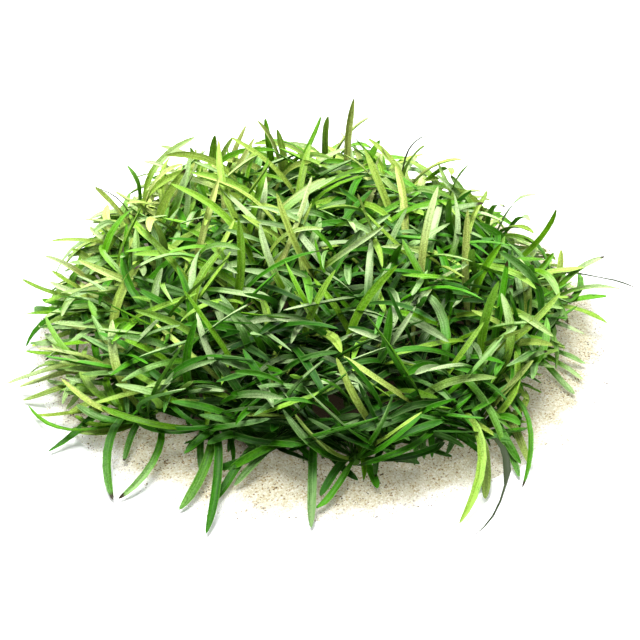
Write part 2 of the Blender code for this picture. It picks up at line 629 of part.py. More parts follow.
def main():
    """Builds the sand and every rosette."""
    for leftover in list(bpy.data.objects):
        bpy.data.objects.remove(leftover)
    parts = new_collection("dwarf_cryptocoryne")
    cutters = new_collection("cutters")
    leaf_surface = material("leaf_green", LEAF_COLOUR, 0.45)
    sand_surface = material("pale_sand", SAND_COLOUR, 0.95)
    places = crowns()
    mat = Mat(places)
    add_outline(mat)
    add_arched(mat)
    sand_bed(places, parts, cutters, sand_surface)
    for index, crown in enumerate(places):
        rosette(f"rosette_{index + 1:02d}", crown, mat.leaves[index], parts, leaf_surface)


main()
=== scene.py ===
"""Dwarf cryptocoryne: the looks of a low, dense mound of small leafy rosettes rooted in a patch of pale sand.

Metres, +Z up, with the origin in the middle of the sand's flat underside and the front towards -Y.
The main leaves grow by the same rules and from the same numbers as the part's solids, so they lie
where the solids lie. Smaller leaves then fill each rosette in between them.
"""

import itertools
import logging
import math
import random
from dataclasses import dataclass, field
from enum import Enum
from typing import Iterator, NamedTuple, Optional, Sequence

import bmesh
import bpy
import numpy as np
from mathutils import Matrix, Vector, noise
from mathutils.bvhtree import BVHTree

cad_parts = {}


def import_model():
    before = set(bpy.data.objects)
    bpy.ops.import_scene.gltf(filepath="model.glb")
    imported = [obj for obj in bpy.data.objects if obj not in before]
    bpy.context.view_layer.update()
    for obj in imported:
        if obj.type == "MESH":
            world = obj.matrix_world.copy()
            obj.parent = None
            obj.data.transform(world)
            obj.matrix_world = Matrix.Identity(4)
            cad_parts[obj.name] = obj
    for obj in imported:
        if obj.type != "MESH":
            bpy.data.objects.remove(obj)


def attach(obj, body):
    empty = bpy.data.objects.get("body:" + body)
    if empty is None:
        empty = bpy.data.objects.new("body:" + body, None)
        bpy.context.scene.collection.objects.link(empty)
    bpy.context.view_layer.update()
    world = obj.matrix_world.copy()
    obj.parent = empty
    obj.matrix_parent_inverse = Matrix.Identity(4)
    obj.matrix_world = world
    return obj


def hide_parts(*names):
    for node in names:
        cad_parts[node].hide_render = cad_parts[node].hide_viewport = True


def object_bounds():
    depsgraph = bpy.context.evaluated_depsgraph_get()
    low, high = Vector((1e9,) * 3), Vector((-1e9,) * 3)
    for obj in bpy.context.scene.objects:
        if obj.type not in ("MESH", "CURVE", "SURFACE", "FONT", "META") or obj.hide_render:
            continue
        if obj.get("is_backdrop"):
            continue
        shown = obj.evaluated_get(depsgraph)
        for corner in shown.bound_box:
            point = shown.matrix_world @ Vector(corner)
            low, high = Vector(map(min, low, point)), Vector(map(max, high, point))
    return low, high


LOG = logging.getLogger("dwarf_cryptocoryne")
GOLDEN_ANGLE = math.radians(137.508)
SAME_PLACE = 1e-7
NO_LENGTH = 1e-12

Span = tuple[float, float]
Colour = tuple[float, float, float, float]
Stops = tuple[tuple[float, Colour], ...]
Socket = bpy.types.NodeSocket
Triangle = tuple[int, int, int]
Ring = list[Vector]
Skin = tuple[list[Vector], list[Triangle]]


class Seed(Enum):
    """Where each source of chance starts, so that every run gives the same result."""

    CROWNS = 20
    MAIN_LEAVES = 21
    GRAINS = 27
    BLADES = 2000
    FILLING = 20000


@dataclass(frozen=True)
class PictureView:
    """The view of the reference picture, for the camera and for placing leaves by where they are seen.

    The mat's edge is how far its close part reaches from the picture's middle, in pixels, from the right
    round by way of the front.
    """

    side: int = 640
    span: float = 0.320
    elevation: float = math.radians(40)
    distance: float = 0.90
    target: Vector = Vector((0.0, 0.0, 0.006))
    sensor: float = 36.0
    nearest: float = 0.01
    mat_edge: tuple[int, ...] = (
        240, 236, 224, 226, 201, 174, 158, 164, 166, 146, 156, 178, 182, 220, 266, 290,
        270, 250, 246, 218, 226, 210, 196, 186, 176, 186, 184, 186, 198, 199, 207, 248,
    )

    def back(self) -> Vector:
        """The unit vector from the target to the eye."""
        return Vector((0, -math.cos(self.elevation), math.sin(self.elevation)))

    def eye(self) -> Vector:
        """Where the eye stands."""
        return self.target + self.distance * self.back()

    def up(self) -> Vector:
        """The unit vector that points up in the picture."""
        return Vector((0, math.sin(self.elevation), math.cos(self.elevation)))

    def seen_at(self, pixel: Span, height: float) -> Vector:
        """The point at a height that the picture shows at a pixel.

        Args:
            pixel: column and row in the picture.
            height: height above the underside of the sand.

        Returns:
            The point.
        """
        step = self.span / self.side
        across = (pixel[0] - self.side / 2) * step
        above = (self.side / 2 - pixel[1]) * step
        ray = Vector((across, 0, 0)) + above * self.up() - self.distance * self.back()
        return self.eye() + ray * ((height - self.eye().z) / ray.z)

    def seen_from(self, point: Vector) -> Span:
        """The pixel at which the picture shows a point."""
        ray = point - self.target - self.distance * self.back()
        scale = self.distance / -ray.dot(self.back()) * self.side / self.span
        return self.side / 2 + ray.x * scale, self.side / 2 - ray.dot(self.up()) * scale

    def is_in_mat(self, point: Vector, slack: float) -> bool:
        """True if the picture would show the point in the mat's close part, give or take some pixels.

        Args:
            point: the point.
            slack: how many pixels further out it may be seen.

        Returns:
            Whether it would.
        """
        column, row = self.seen_from(point)
        across, down = column - self.side / 2, row - self.side / 2
        count = len(self.mat_edge)
        step = math.atan2(down, across) / math.tau * count % count
        low = int(step) % count
        here, after = self.mat_edge[low], self.mat_edge[(low + 1) % count]
        return math.hypot(across, down) <= here + (after - here) * (step - int(step)) + slack

    def set_camera(self) -> None:
        """Adds the camera and makes it the scene's."""
        data = bpy.data.cameras.new("picture_camera")
        data.sensor_width = self.sensor
        data.lens = self.sensor * self.distance / self.span
        data.clip_start = self.nearest
        camera = bpy.data.objects.new("picture_camera", data)
        bpy.context.scene.collection.objects.link(camera)
        camera.location = self.eye()
        camera.rotation_euler = self.back().to_track_quat("Z", "Y").to_euler()
        bpy.context.scene.camera = camera


@dataclass(frozen=True)
class SandForm:
    """The shape of the sand patch: an oval heap with an uneven rim."""

    radius_x: float = 0.142
    radius_y: float = 0.133
    lip: float = 0.0016
    rise: float = 0.0105
    fall_power: float = 2.6
    wobble: tuple[tuple[int, float, float], ...] = ((3, 0.018, 0.6), (5, 0.014, 2.1), (8, 0.009, 4.0))

    def rim(self, angle: float) -> float:
        """The outer radius in a direction."""
        waves = sum(share * math.cos(lobes * angle + phase) for lobes, share, phase in self.wobble)
        oval = math.hypot(self.radius_y * math.cos(angle), self.radius_x * math.sin(angle))
        return self.radius_x * self.radius_y / oval * (1 + waves)

    def share(self, x: float, y: float) -> float:
        """How far out a place lies: 0 in the middle and 1 at the rim."""
        return math.hypot(x, y) / self.rim(math.atan2(y, x))

    def height(self, x: float, y: float) -> float:
        """The height of the top above the underside, and 0 past the rim."""
        share = self.share(x, y)
        if share >= 1:
            return 0.0
        return self.lip + self.rise * (1 - share**self.fall_power)


class Leaf(NamedTuple):
    """One leaf: its ends, its angles from the vertical there, and how it turns and bows."""

    root: Vector
    tip: Vector
    foot_angle: float
    tip_angle: float
    twist: float
    width: float
    bow: float


class Crown(NamedTuple):
    """One rosette's place, its share of the way to the mat's edge, and its outward heading."""

    place: Vector
    share: float
    heading: float


class OutlineLeaf(NamedTuple):
    """A leaf of the outline: the pixels where its tip and foot are seen, and how it grows between them.

    Its height is the tip's. Its angles are in degrees from the vertical, its bow is a share of its length
    and its width a share of a full blade's.
    """

    name: str
    tip: tuple[int, int]
    foot: tuple[int, int]
    height: float
    foot_angle: float
    tip_angle: float
    bow: float
    width: float


OUTLINE: list[OutlineLeaf] = [
    OutlineLeaf("left_low_tip", (6, 384), (95, 372), 0.008, 40, 112, 0.0, 0.8),
    OutlineLeaf("left_low_under", (19, 387), (100, 380), 0.004, 45, 112, 0.0, 0.9),
    OutlineLeaf("left_low_third", (22, 400), (112, 388), 0.002, 48, 108, 0.06, 0.9),
    OutlineLeaf("left_low_small", (34, 415), (95, 385), 0.002, 50, 110, 0.08, 0.7),
    OutlineLeaf("left_hook", (28, 405), (122, 398), 0.002, 60, 96, 0.26, 0.5),
    OutlineLeaf("left_big_dark", (47, 452), (118, 372), 0.002, 40, 112, 0.12, 1.0),
    OutlineLeaf("left_band", (66, 412), (170, 365), 0.003, 32, 125, -0.04, 1.0),
    OutlineLeaf("left_low_dark", (81, 435), (120, 385), 0.002, 45, 112, 0.08, 0.8),
    OutlineLeaf("left_low_drop", (96, 436), (128, 390), 0.002, 40, 115, 0.08, 0.8),
    OutlineLeaf("front_left_hanger", (113, 500), (152, 425), 0.002, 35, 120, -0.16, 1.0),
    OutlineLeaf("front_left_hook", (118, 499), (150, 430), 0.002, 45, 108, 0.24, 0.9),
    OutlineLeaf("front_left_yellow", (124, 463), (165, 425), 0.003, 40, 115, 0.04, 0.8),
    OutlineLeaf("front_left_blade", (179, 510), (203, 440), 0.002, 38, 115, 0.04, 1.15),
    OutlineLeaf("front_left_pale", (184, 454), (262, 425), 0.014, 40, 112, 0.0, 1.0),
    OutlineLeaf("front_star_dark", (213, 507), (255, 450), 0.002, 48, 105, -0.05, 1.0),
    OutlineLeaf("front_star_long", (206, 534), (230, 455), 0.002, 42, 112, 0.08, 1.0),
    OutlineLeaf("front_star_pale", (234, 486), (208, 440), 0.006, 30, 125, 0.0, 1.0),
    OutlineLeaf("front_star_small", (204, 480), (228, 445), 0.003, 40, 118, 0.0, 0.8),
    OutlineLeaf("front_middle_left", (236, 466), (292, 442), 0.008, 42, 110, -0.04, 1.05),
    OutlineLeaf("front_middle_high", (243, 453), (312, 425), 0.014, 42, 105, 0.0, 1.0),
    OutlineLeaf("front_spear", (311, 528), (303, 450), 0.002, 38, 112, 0.0, 1.0),
    OutlineLeaf("front_spear_dark", (316, 512), (340, 452), 0.002, 45, 110, 0.04, 0.8),
    OutlineLeaf("front_spear_pale", (320, 496), (306, 440), 0.006, 20, 128, 0.0, 1.0),
    OutlineLeaf("front_right_low", (358, 488), (318, 445), 0.002, 48, 105, -0.06, 1.0),
    OutlineLeaf("front_right_fork", (377, 493), (358, 445), 0.003, 35, 115, 0.03, 1.0),
    OutlineLeaf("front_right_twin", (362, 470), (392, 440), 0.004, 40, 115, 0.0, 0.9),
    OutlineLeaf("front_right_thin", (479, 537), (455, 455), 0.002, 45, 112, 0.22, 0.45),
    OutlineLeaf("front_ledge", (452, 462), (385, 448), 0.003, 45, 100, 0.05, 0.9),
    OutlineLeaf("front_bow", (459, 524), (412, 447), 0.002, 35, 125, 0.27, 1.0),
    OutlineLeaf("front_right_dark", (485, 499), (445, 447), 0.002, 42, 115, 0.06, 1.15),
    OutlineLeaf("front_right_under", (476, 490), (440, 450), 0.002, 42, 115, 0.03, 1.0),
    OutlineLeaf("right_front_first", (519, 477), (455, 440), 0.002, 42, 108, 0.08, 0.9),
    OutlineLeaf("right_front_second", (522, 488), (488, 425), 0.002, 38, 120, 0.20, 0.6),
    OutlineLeaf("right_front_third", (531, 467), (462, 405), 0.002, 32, 125, 0.06, 1.0),
    OutlineLeaf("right_front_hanging", (521, 464), (520, 395), 0.003, 25, 140, -0.05, 1.05),
    OutlineLeaf("right_pale_bow", (504, 449), (462, 408), 0.010, 30, 135, 0.14, 0.9),
    OutlineLeaf("right_low_first", (574, 400), (520, 382), 0.002, 45, 112, 0.05, 0.9),
    OutlineLeaf("right_low_second", (582, 385), (532, 372), 0.002, 48, 110, 0.04, 0.8),
    OutlineLeaf("right_low_third", (586, 364), (530, 362), 0.005, 42, 122, 0.02, 0.9),
    OutlineLeaf("right_level", (585, 334), (520, 342), 0.016, 50, 98, 0.0, 0.7),
    OutlineLeaf("right_yellow_arch", (608, 323), (545, 335), 0.010, 38, 118, 0.0, 0.8),
    OutlineLeaf("right_straight", (607, 296), (542, 328), 0.022, 55, 76, 0.0, 0.95),
    OutlineLeaf("right_far", (621, 289), (552, 298), 0.016, 48, 108, 0.05, 0.8),
    OutlineLeaf("right_strand", (635, 284), (560, 300), 0.016, 48, 95, 0.03, 0.24),
    OutlineLeaf("right_upper_arch", (605, 256), (540, 290), 0.030, 35, 92, 0.0, 0.9),
    OutlineLeaf("right_upper_short", (584, 267), (540, 300), 0.028, 42, 72, 0.0, 1.0),
    OutlineLeaf("right_spear", (556, 209), (545, 290), 0.052, 12, 4, 0.0, 1.0),
    OutlineLeaf("right_back_arch", (534, 233), (475, 255), 0.042, 35, 85, 0.0, 0.9),
    OutlineLeaf("right_back_pale", (530, 221), (470, 250), 0.046, 35, 88, 0.0, 0.8),
    OutlineLeaf("right_back_high", (538, 195), (480, 245), 0.050, 35, 78, 0.0, 0.95),
    OutlineLeaf("right_back_thin", (505, 207), (450, 235), 0.048, 35, 88, 0.0, 0.8),
    OutlineLeaf("right_back_level", (482, 191), (425, 220), 0.046, 35, 90, 0.0, 0.7),
    OutlineLeaf("right_tall", (469, 164), (448, 240), 0.060, 12, 30, 0.0, 0.85),
    OutlineLeaf("top_right_arch", (462, 159), (415, 215), 0.050, 25, 78, 0.0, 0.7),
    OutlineLeaf("top_right_strand", (434, 133), (362, 205), 0.058, 15, 80, 0.0, 0.26),
    OutlineLeaf("top_right_olive", (425, 145), (375, 210), 0.055, 30, 60, 0.0, 0.9),
    OutlineLeaf("top_right_broad", (380, 140), (358, 215), 0.052, 15, 28, 0.0, 1.15),
    OutlineLeaf("top_spear", (354, 98), (354, 205), 0.072, 3, 2, 0.0, 0.9),
    OutlineLeaf("top_arch", (369, 117), (336, 205), 0.060, 10, 55, 0.0, 0.9),
    OutlineLeaf("top_left_lean", (328, 116), (350, 205), 0.062, 15, 25, 0.0, 0.9),
    OutlineLeaf("top_right_lean", (321, 116), (295, 205), 0.060, 8, 42, 0.0, 0.9),
    OutlineLeaf("top_olive", (277, 129), (296, 205), 0.056, 15, 25, 0.0, 0.95),
    OutlineLeaf("top_pair_first", (265, 118), (288, 205), 0.060, 14, 24, 0.0, 1.0),
    OutlineLeaf("top_pair_second", (257, 120), (300, 215), 0.064, 22, 18, 0.0, 0.95),
    OutlineLeaf("top_left_bent", (246, 125), (238, 205), 0.055, 6, 38, 0.0, 0.8),
    OutlineLeaf("top_left_lime", (233, 137), (262, 205), 0.050, 20, 50, 0.0, 0.8),
    OutlineLeaf("top_left_upright", (215, 135), (216, 210), 0.052, 4, 4, 0.0, 1.05),
    OutlineLeaf("left_back_twin", (190, 147), (192, 225), 0.052, 3, 2, 0.0, 0.9),
    OutlineLeaf("left_back_second", (196, 148), (206, 225), 0.052, 10, 4, 0.0, 0.9),
    OutlineLeaf("left_back_level", (143, 161), (205, 215), 0.042, 38, 88, 0.0, 0.95),
    OutlineLeaf("left_back_rise", (127, 165), (180, 230), 0.050, 38, 50, 0.0, 0.9),
    OutlineLeaf("left_spear", (95, 187), (135, 275), 0.056, 22, 18, 0.0, 1.1),
    OutlineLeaf("left_broad", (115, 191), (180, 250), 0.050, 40, 60, 0.0, 1.0),
    OutlineLeaf("left_strand", (101, 190), (150, 235), 0.050, 40, 55, 0.0, 0.26),
    OutlineLeaf("left_upper_high", (84, 219), (125, 265), 0.040, 35, 60, 0.0, 0.8),
    OutlineLeaf("left_upper_first", (51, 241), (120, 272), 0.034, 42, 88, 0.0, 0.8),
    OutlineLeaf("left_upper_second", (45, 256), (112, 282), 0.028, 48, 88, 0.0, 0.9),
    OutlineLeaf("left_upper_third", (51, 270), (108, 298), 0.026, 48, 70, 0.0, 0.8),
    OutlineLeaf("left_far", (22, 279), (95, 322), 0.026, 55, 66, 0.0, 0.95),
    OutlineLeaf("left_curl", (26, 313), (100, 308), 0.006, 45, 125, 0.12, 0.6),
    OutlineLeaf("left_low_lime", (44, 303), (110, 308), 0.018, 40, 108, 0.0, 0.8),
    OutlineLeaf("left_mid_pale", (44, 318), (112, 325), 0.014, 42, 108, 0.0, 0.9),
    OutlineLeaf("left_mid_flat", (38, 326), (95, 340), 0.010, 42, 105, 0.0, 0.8),
    OutlineLeaf("left_drop", (31, 346), (92, 350), 0.006, 42, 115, 0.06, 0.9),
    OutlineLeaf("left_drop_grey", (25, 351), (90, 362), 0.006, 50, 98, 0.0, 0.7),
]


@dataclass(frozen=True)
class LeafForm:
    """The sizes of a leaf and of the rootstock that it grows from.

    A station gives a section's share of the way along, of the full width and of the keel's depth.
    """

    blade_width: float = 0.0041
    side_bow: float = 0.18
    keel_depth: float = 0.0010
    plain_stations: tuple[tuple[float, float, float], ...] = ((0.24, 0.66, 1.2), (0.80, 0.98, 0.9))
    bent_stations: tuple[tuple[float, float, float], ...] = (
        (0.20, 0.60, 1.2), (0.53, 1.0, 1.0), (0.85, 0.92, 0.8),
    )
    plain_bend: float = math.radians(32)
    handle_share: float = 0.38
    path_steps: int = 18
    ground_gap: float = 0.0020
    stock_radius: float = 0.0028
    stock_stretch: float = 1.9

    def path(self, leaf: Leaf, sand: SandForm) -> list[Vector]:
        """Points along a leaf's midrib, on a cubic curve that is bowed sideways and kept off the ground.

        Args:
            leaf: the leaf.
            sand: the sand under it.

        Returns:
            The points, foot to tip.
        """
        across = leaf.tip - leaf.root
        heading = math.atan2(across.y, across.x)
        sideways = direction(heading + math.pi / 2, math.pi / 2) * leaf.bow * across.length
        first = leaf.root + direction(heading, leaf.foot_angle) * self.handle_share * across.length
        second = leaf.tip - direction(heading, leaf.tip_angle) * self.handle_share * across.length
        points = []
        for step in range(self.path_steps + 1):
            t = step / self.path_steps
            point = (
                leaf.root * (1 - t) ** 3
                + first * 3 * t * (1 - t) ** 2
                + second * 3 * t * t * (1 - t)
                + leaf.tip * t**3
                + sideways * 4 * t * (1 - t)
            )
            point.z = max(point.z, sand.height(point.x, point.y) + self.ground_gap)
            points.append(point)
        return points

    def sections(self, leaf: Leaf, sand: SandForm, grow: float = 0.0) -> list[Ring]:
        """The triangular sections of a leaf's solid, foot to tip.

        Args:
            leaf: the leaf.
            sand: the sand under it.
            grow: how far the sections are grown outwards.

        Returns:
            A ring of right edge, left edge and keel for each station.
        """
        path = self.path(leaf, sand)
        plain = abs(leaf.tip_angle - leaf.foot_angle) < self.plain_bend
        across = leaf.tip - leaf.root
        rings = []
        for station, wide, deep in self.plain_stations if plain else self.bent_stations:
            position = station * self.path_steps
            low = min(int(position), self.path_steps - 1)
            centre = path[low].lerp(path[low + 1], position - low)
            along = (path[low + 1] - path[max(low - 1, 0)]).normalized()
            side = Vector((-across.y, across.x, 0)).normalized()
            side = (side - along * side.dot(along)).normalized()
            side.rotate(Matrix.Rotation(leaf.twist * station, 3, along))
            face = along.cross(side)
            half = side * (leaf.width * wide / 2 + grow)
            keel = face * (self.keel_depth * deep + grow)
            rings.append([centre + half + face * grow, centre - half + face * grow, centre - keel])
        return rings


def direction(heading: float, angle: float) -> Vector:
    """The unit vector that leans by an angle from the vertical towards a heading."""
    level = Vector((math.cos(heading), math.sin(heading), 0))
    return level * math.sin(angle) + Vector((0, 0, math.cos(angle)))


def matched(base: Ring, ring: Ring) -> Ring:
    """A ring's corners in the order that lies nearest to the corners of a base."""
    orders = [[ring[(i + shift) % 3] for i in range(3)] for shift in range(3)]
    return min(orders, key=lambda order: sum((a - b).length for a, b in zip(order, base)))


def share_a_corner(first: Sequence[Vector], second: Sequence[Vector]) -> bool:
    """True if two faces, each a list of points, have a corner in common."""
    return any((a - b).length < SAME_PLACE for a in first for b in second)


@dataclass
class Mat:
    """The mat of rosettes: where each stands, and its main leaves, which keep clear of each other.

    Spreads, bends and the outline's nudges are in degrees, other angles in radians, and slacks and margins
    in pixels of the picture.
    """

    sand: SandForm
    form: LeafForm
    view: PictureView
    rosettes: int = 58
    radius_x: float = 0.116
    radius_y: float = 0.109
    reach_x: float = 0.155
    reach_y: float = 0.142
    place_jitter: float = 0.0035
    edge_lean: float = math.radians(28)
    edge_fan: float = 0.35
    stock_lift: float = 0.0014
    face_reach: float = math.cos(math.radians(60))
    way_step: int = 3
    leaves_each: int = 9
    length_middle: float = 0.074
    length_edge: float = 0.056
    length_shares: Span = (0.84, 1.14)
    width_shares: Span = (0.88, 1.12)
    heading_wander: float = 0.9
    first_spread: float = 38.0
    inner_steeper: float = 26.0
    spread_wander: float = 9.0
    least_lean: float = math.radians(3)
    upright_share: float = 0.15
    upright_bends: Span = (6.0, 24.0)
    arched_bends: Span = (54.0, 110.0)
    inner_unbent: float = 0.3
    most_twist: float = 0.6
    corner_gap: float = 0.0004
    stalk_parted: float = 0.25
    clear_of_own: float = 0.00010
    clear_of_others: float = 0.00035
    stock_clearance: float = 0.0062
    tries: int = 140
    late_shortening: float = 0.35
    tallest: float = 0.074
    edge_slack: Span = (-12.0, 12.0)
    slack_every: int = 6
    crown_margin: float = 18.0
    crown_step: float = 0.97
    outline_feet: int = 7
    outline_steepest: float = 2.0
    outline_nudges: tuple[tuple[float, float, float], ...] = (
        (0, 0, 0.0), (8, 8, 0.05), (-8, -8, -0.05), (14, -6, 0.09), (-10, 14, -0.09),
    )
    neighbours: float = 0.20
    places: list[Crown] = field(default_factory=list)
    faces: list[Ring] = field(default_factory=list)
    leaves: list[list[tuple[int, Leaf]]] = field(default_factory=list)
    skins: list[list[tuple[Skin, BVHTree]]] = field(default_factory=list)
    blades: list[list[BVHTree]] = field(default_factory=list)

    def grow(self) -> None:
        """Sets out the rosettes and grows their main leaves."""
        self.places = self.crowns()
        self.faces = self.stock_faces()
        self.leaves = [[] for _ in self.places]
        self.skins = [[] for _ in self.places]
        self.blades = [[] for _ in self.places]
        self.add_outline()
        self.add_arched()

    def crowns(self) -> list[Crown]:
        """Where the rosettes stand, laid out like seeds in a sunflower."""
        draw = random.Random(Seed.CROWNS.value)
        found = []
        for index in range(self.rosettes):
            share = math.sqrt((index + 0.5) / self.rosettes)
            heading = index * GOLDEN_ANGLE
            jitter = self.place_jitter
            x = self.radius_x * share * math.cos(heading) + draw.uniform(-jitter, jitter)
            y = self.radius_y * share * math.sin(heading) + draw.uniform(-jitter, jitter)
            while not self.view.is_in_mat(Vector((x, y, self.sand.height(x, y))), -self.crown_margin):
                x, y = x * self.crown_step, y * self.crown_step
            place = Vector((x, y, self.sand.height(x, y) + self.stock_lift))
            found.append(Crown(place, share, math.atan2(y, x)))
        return found

    def stock_faces(self) -> list[Ring]:
        """The rootstock's upward faces, each as its three corners measured from the rootstock's middle."""
        bm = bmesh.new()
        bmesh.ops.create_icosphere(bm, subdivisions=1, radius=self.form.stock_radius)
        upward = [face for face in bm.faces if face.calc_center_median().z > 0]
        faces = [[vert.co.copy() for vert in face.verts] for face in upward]
        bm.free()
        return faces

    def leaf_skin(self, leaf: Leaf, base: Ring, grow: float = 0.0) -> Skin:
        """The open skin of a leaf's solid from its base on the rootstock to its tip.

        Args:
            leaf: the leaf.
            base: the corners that it starts from.
            grow: how far it is grown outwards.

        Returns:
            Points and triangles. Each four-cornered face counts with both its diagonals.
        """
        rings = [base]
        for ring in self.form.sections(leaf, self.sand, grow):
            rings.append(matched(rings[-1], ring))
        points = [corner for ring in rings for corner in ring]
        points.append(self.form.path(leaf, self.sand)[-1])
        faces: list[Triangle] = []
        for low in range(0, 3 * len(rings) - 3, 3):
            for corner in range(3):
                a, b = low + corner, low + (corner + 1) % 3
                faces += [(a, b, b + 3), (a, b + 3, a + 3), (a, b, a + 3), (b, b + 3, a + 3)]
        last, end = 3 * len(rings) - 3, len(points) - 1
        faces += [(last + corner, last + (corner + 1) % 3, end) for corner in range(3)]
        return points, faces

    def blade_tree(self, leaf: Leaf, base: Ring, grow: float) -> BVHTree:
        """A search tree over the leaf from where it has parted from its neighbours, a little up its stalk.

        Args:
            leaf: the leaf.
            base: the corners that it starts from.
            grow: how far it is grown outwards.

        Returns:
            The tree.
        """
        first = matched(base, self.form.sections(leaf, self.sand)[0])
        parted = [a.lerp(b, self.stalk_parted) for a, b in zip(base, first)]
        return BVHTree.FromPolygons(*self.leaf_skin(leaf, parted, grow))

    def is_off_sand(self, leaf: Leaf, base: Ring) -> bool:
        """True if no corner of the leaf, nor the middle of its stalk, comes down to the sand.

        Args:
            leaf: the leaf.
            base: the corners that it starts from.

        Returns:
            Whether it stays off.
        """
        rings = self.form.sections(leaf, self.sand)
        middle = [(a + b) / 2 for a, b in zip(base, matched(base, rings[0]))]
        corners = [corner for ring in [middle, *rings] for corner in ring]
        return all(c.z > self.sand.height(c.x, c.y) + self.corner_gap for c in corners)

    def is_clear_of_own(self, owner: int, leaf: Leaf, base: Ring) -> bool:
        """True if the leaf crosses neither itself nor another leaf of its rosette.

        Args:
            owner: index of the rosette.
            leaf: the leaf.
            base: the corners that it starts from.

        Returns:
            Whether it is clear.
        """
        blade = self.blade_tree(leaf, base, self.clear_of_own)
        if any(blade.overlap(other) for other in self.blades[owner]):
            return False
        points, faces = self.leaf_skin(leaf, base)
        tree = BVHTree.FromPolygons(points, faces)
        if any(not set(faces[a]) & set(faces[b]) for a, b in tree.overlap(tree)):
            return False
        for (other_points, other_faces), other_tree in self.skins[owner]:
            for mine, theirs in tree.overlap(other_tree):
                first = [points[i] for i in faces[mine]]
                second = [other_points[i] for i in other_faces[theirs]]
                if not share_a_corner(first, second):
                    return False
        return True

    def is_clear_of_others(self, owner: int, leaf: Leaf, base: Ring) -> bool:
        """True if the leaf keeps its distance from the leaves and rootstocks of other rosettes.

        Args:
            owner: index of the rosette.
            leaf: the leaf.
            base: the corners that it starts from.

        Returns:
            Whether it is clear.
        """
        tree = BVHTree.FromPolygons(*self.leaf_skin(leaf, base, self.clear_of_others))
        path = self.form.path(leaf, self.sand)
        for index, crown in enumerate(self.places):
            if index == owner or (crown.place - leaf.root).length > self.neighbours:
                continue
            if any((point - crown.place).length < self.stock_clearance for point in path):
                return False
            if any(tree.overlap(other) for _, other in self.skins[index]):
                return False
        return True

    def face_for(self, owner: int, leaf: Leaf) -> Optional[int]:
        """The free face of the rootstock that looks most nearly the leaf's way.

        Args:
            owner: index of the rosette.
            leaf: the leaf.

        Returns:
            The face's index, or None if no free one is near.
        """
        used = {face for face, _ in self.leaves[owner]}
        way = (self.form.path(leaf, self.sand)[self.way_step] - leaf.root).normalized()
        nearness = {
            face: sum(corners, Vector()).normalized().dot(way)
            for face, corners in enumerate(self.faces)
            if face not in used
        }
        best = max(nearness, key=nearness.get, default=None)
        return best if best is not None and nearness[best] > self.face_reach else None

    def add(self, owner: int, leaf: Leaf) -> bool:
        """Places the leaf on a rosette if there is room for it.

        Args:
            owner: index of the rosette.
            leaf: the leaf.

        Returns:
            Whether there was.
        """
        face = self.face_for(owner, leaf)
        if face is None:
            return False
        base = [leaf.root + corner for corner in self.faces[face]]
        if not self.is_off_sand(leaf, base) or not self.is_clear_of_own(owner, leaf, base):
            return False
        if not self.is_clear_of_others(owner, leaf, base):
            return False
        skin = self.leaf_skin(leaf, base)
        self.leaves[owner].append((face, leaf))
        self.skins[owner].append((skin, BVHTree.FromPolygons(*skin)))
        self.blades[owner].append(self.blade_tree(leaf, base, 0.0))
        return True

    def length_of(self, crown: Crown) -> float:
        """About how long a rosette's leaves are: shorter towards the mat's edge."""
        return self.length_middle + (self.length_edge - self.length_middle) * crown.share**2

    def arched_leaf(
        self, crown: Crown, heading: float, angles: Span, length: float, turned: tuple[float, ...]
    ) -> Leaf:
        """A leaf of a given length whose angle turns evenly from foot to tip.

        Args:
            crown: the rosette that it grows from.
            heading: the way that it leans.
            angles: its angles from the vertical at its foot and at its tip.
            length: its length along the arch.
            turned: its twist, width and bow.

        Returns:
            The leaf.
        """
        foot, tip_angle = angles
        turn = tip_angle - foot
        reach = length * (math.cos(foot) - math.cos(tip_angle)) / turn
        rise = length * (math.sin(tip_angle) - math.sin(foot)) / turn
        level = Vector((math.cos(heading), math.sin(heading), 0))
        tip = crown.place + level * reach + Vector((0, 0, rise))
        tip.z = max(tip.z, self.sand.height(tip.x, tip.y) + self.form.ground_gap)
        return Leaf(crown.place.copy(), tip, foot, tip_angle, *turned)

    def fanned(self, crown: Crown, turn: float) -> float:
        """A heading that is a turn away from outward. At the mat's edge the leaves crowd towards outward."""
        turn = math.remainder(turn, math.tau)
        return crown.heading + turn * (1 - self.edge_fan * crown.share**2)

    def lean_of(self, crown: Crown, heading: float) -> float:
        """How far the whole rosette leans towards a heading: outwards at the mat's edge."""
        return self.edge_lean * crown.share**2 * math.cos(heading - crown.heading)

    def in_reach(self, leaf: Leaf, draw: random.Random, extra: float = 0.0) -> bool:
        """True if a leaf keeps within the mat's reach, and about within the close part that is seen.

        Args:
            leaf: the leaf.
            draw: the source of chance.
            extra: how many pixels further out it may come than the main leaves.

        Returns:
            Whether it does.
        """
        if math.hypot(leaf.tip.x / self.reach_x, leaf.tip.y / self.reach_y) > 1 or leaf.tip.z > self.tallest:
            return False
        slack = draw.uniform(*self.edge_slack) + extra
        below = Vector((leaf.tip.x, leaf.tip.y, self.sand.height(leaf.tip.x, leaf.tip.y)))
        points = [below, *self.form.path(leaf, self.sand)[:: self.slack_every]]
        return all(self.view.is_in_mat(point, slack) for point in points)

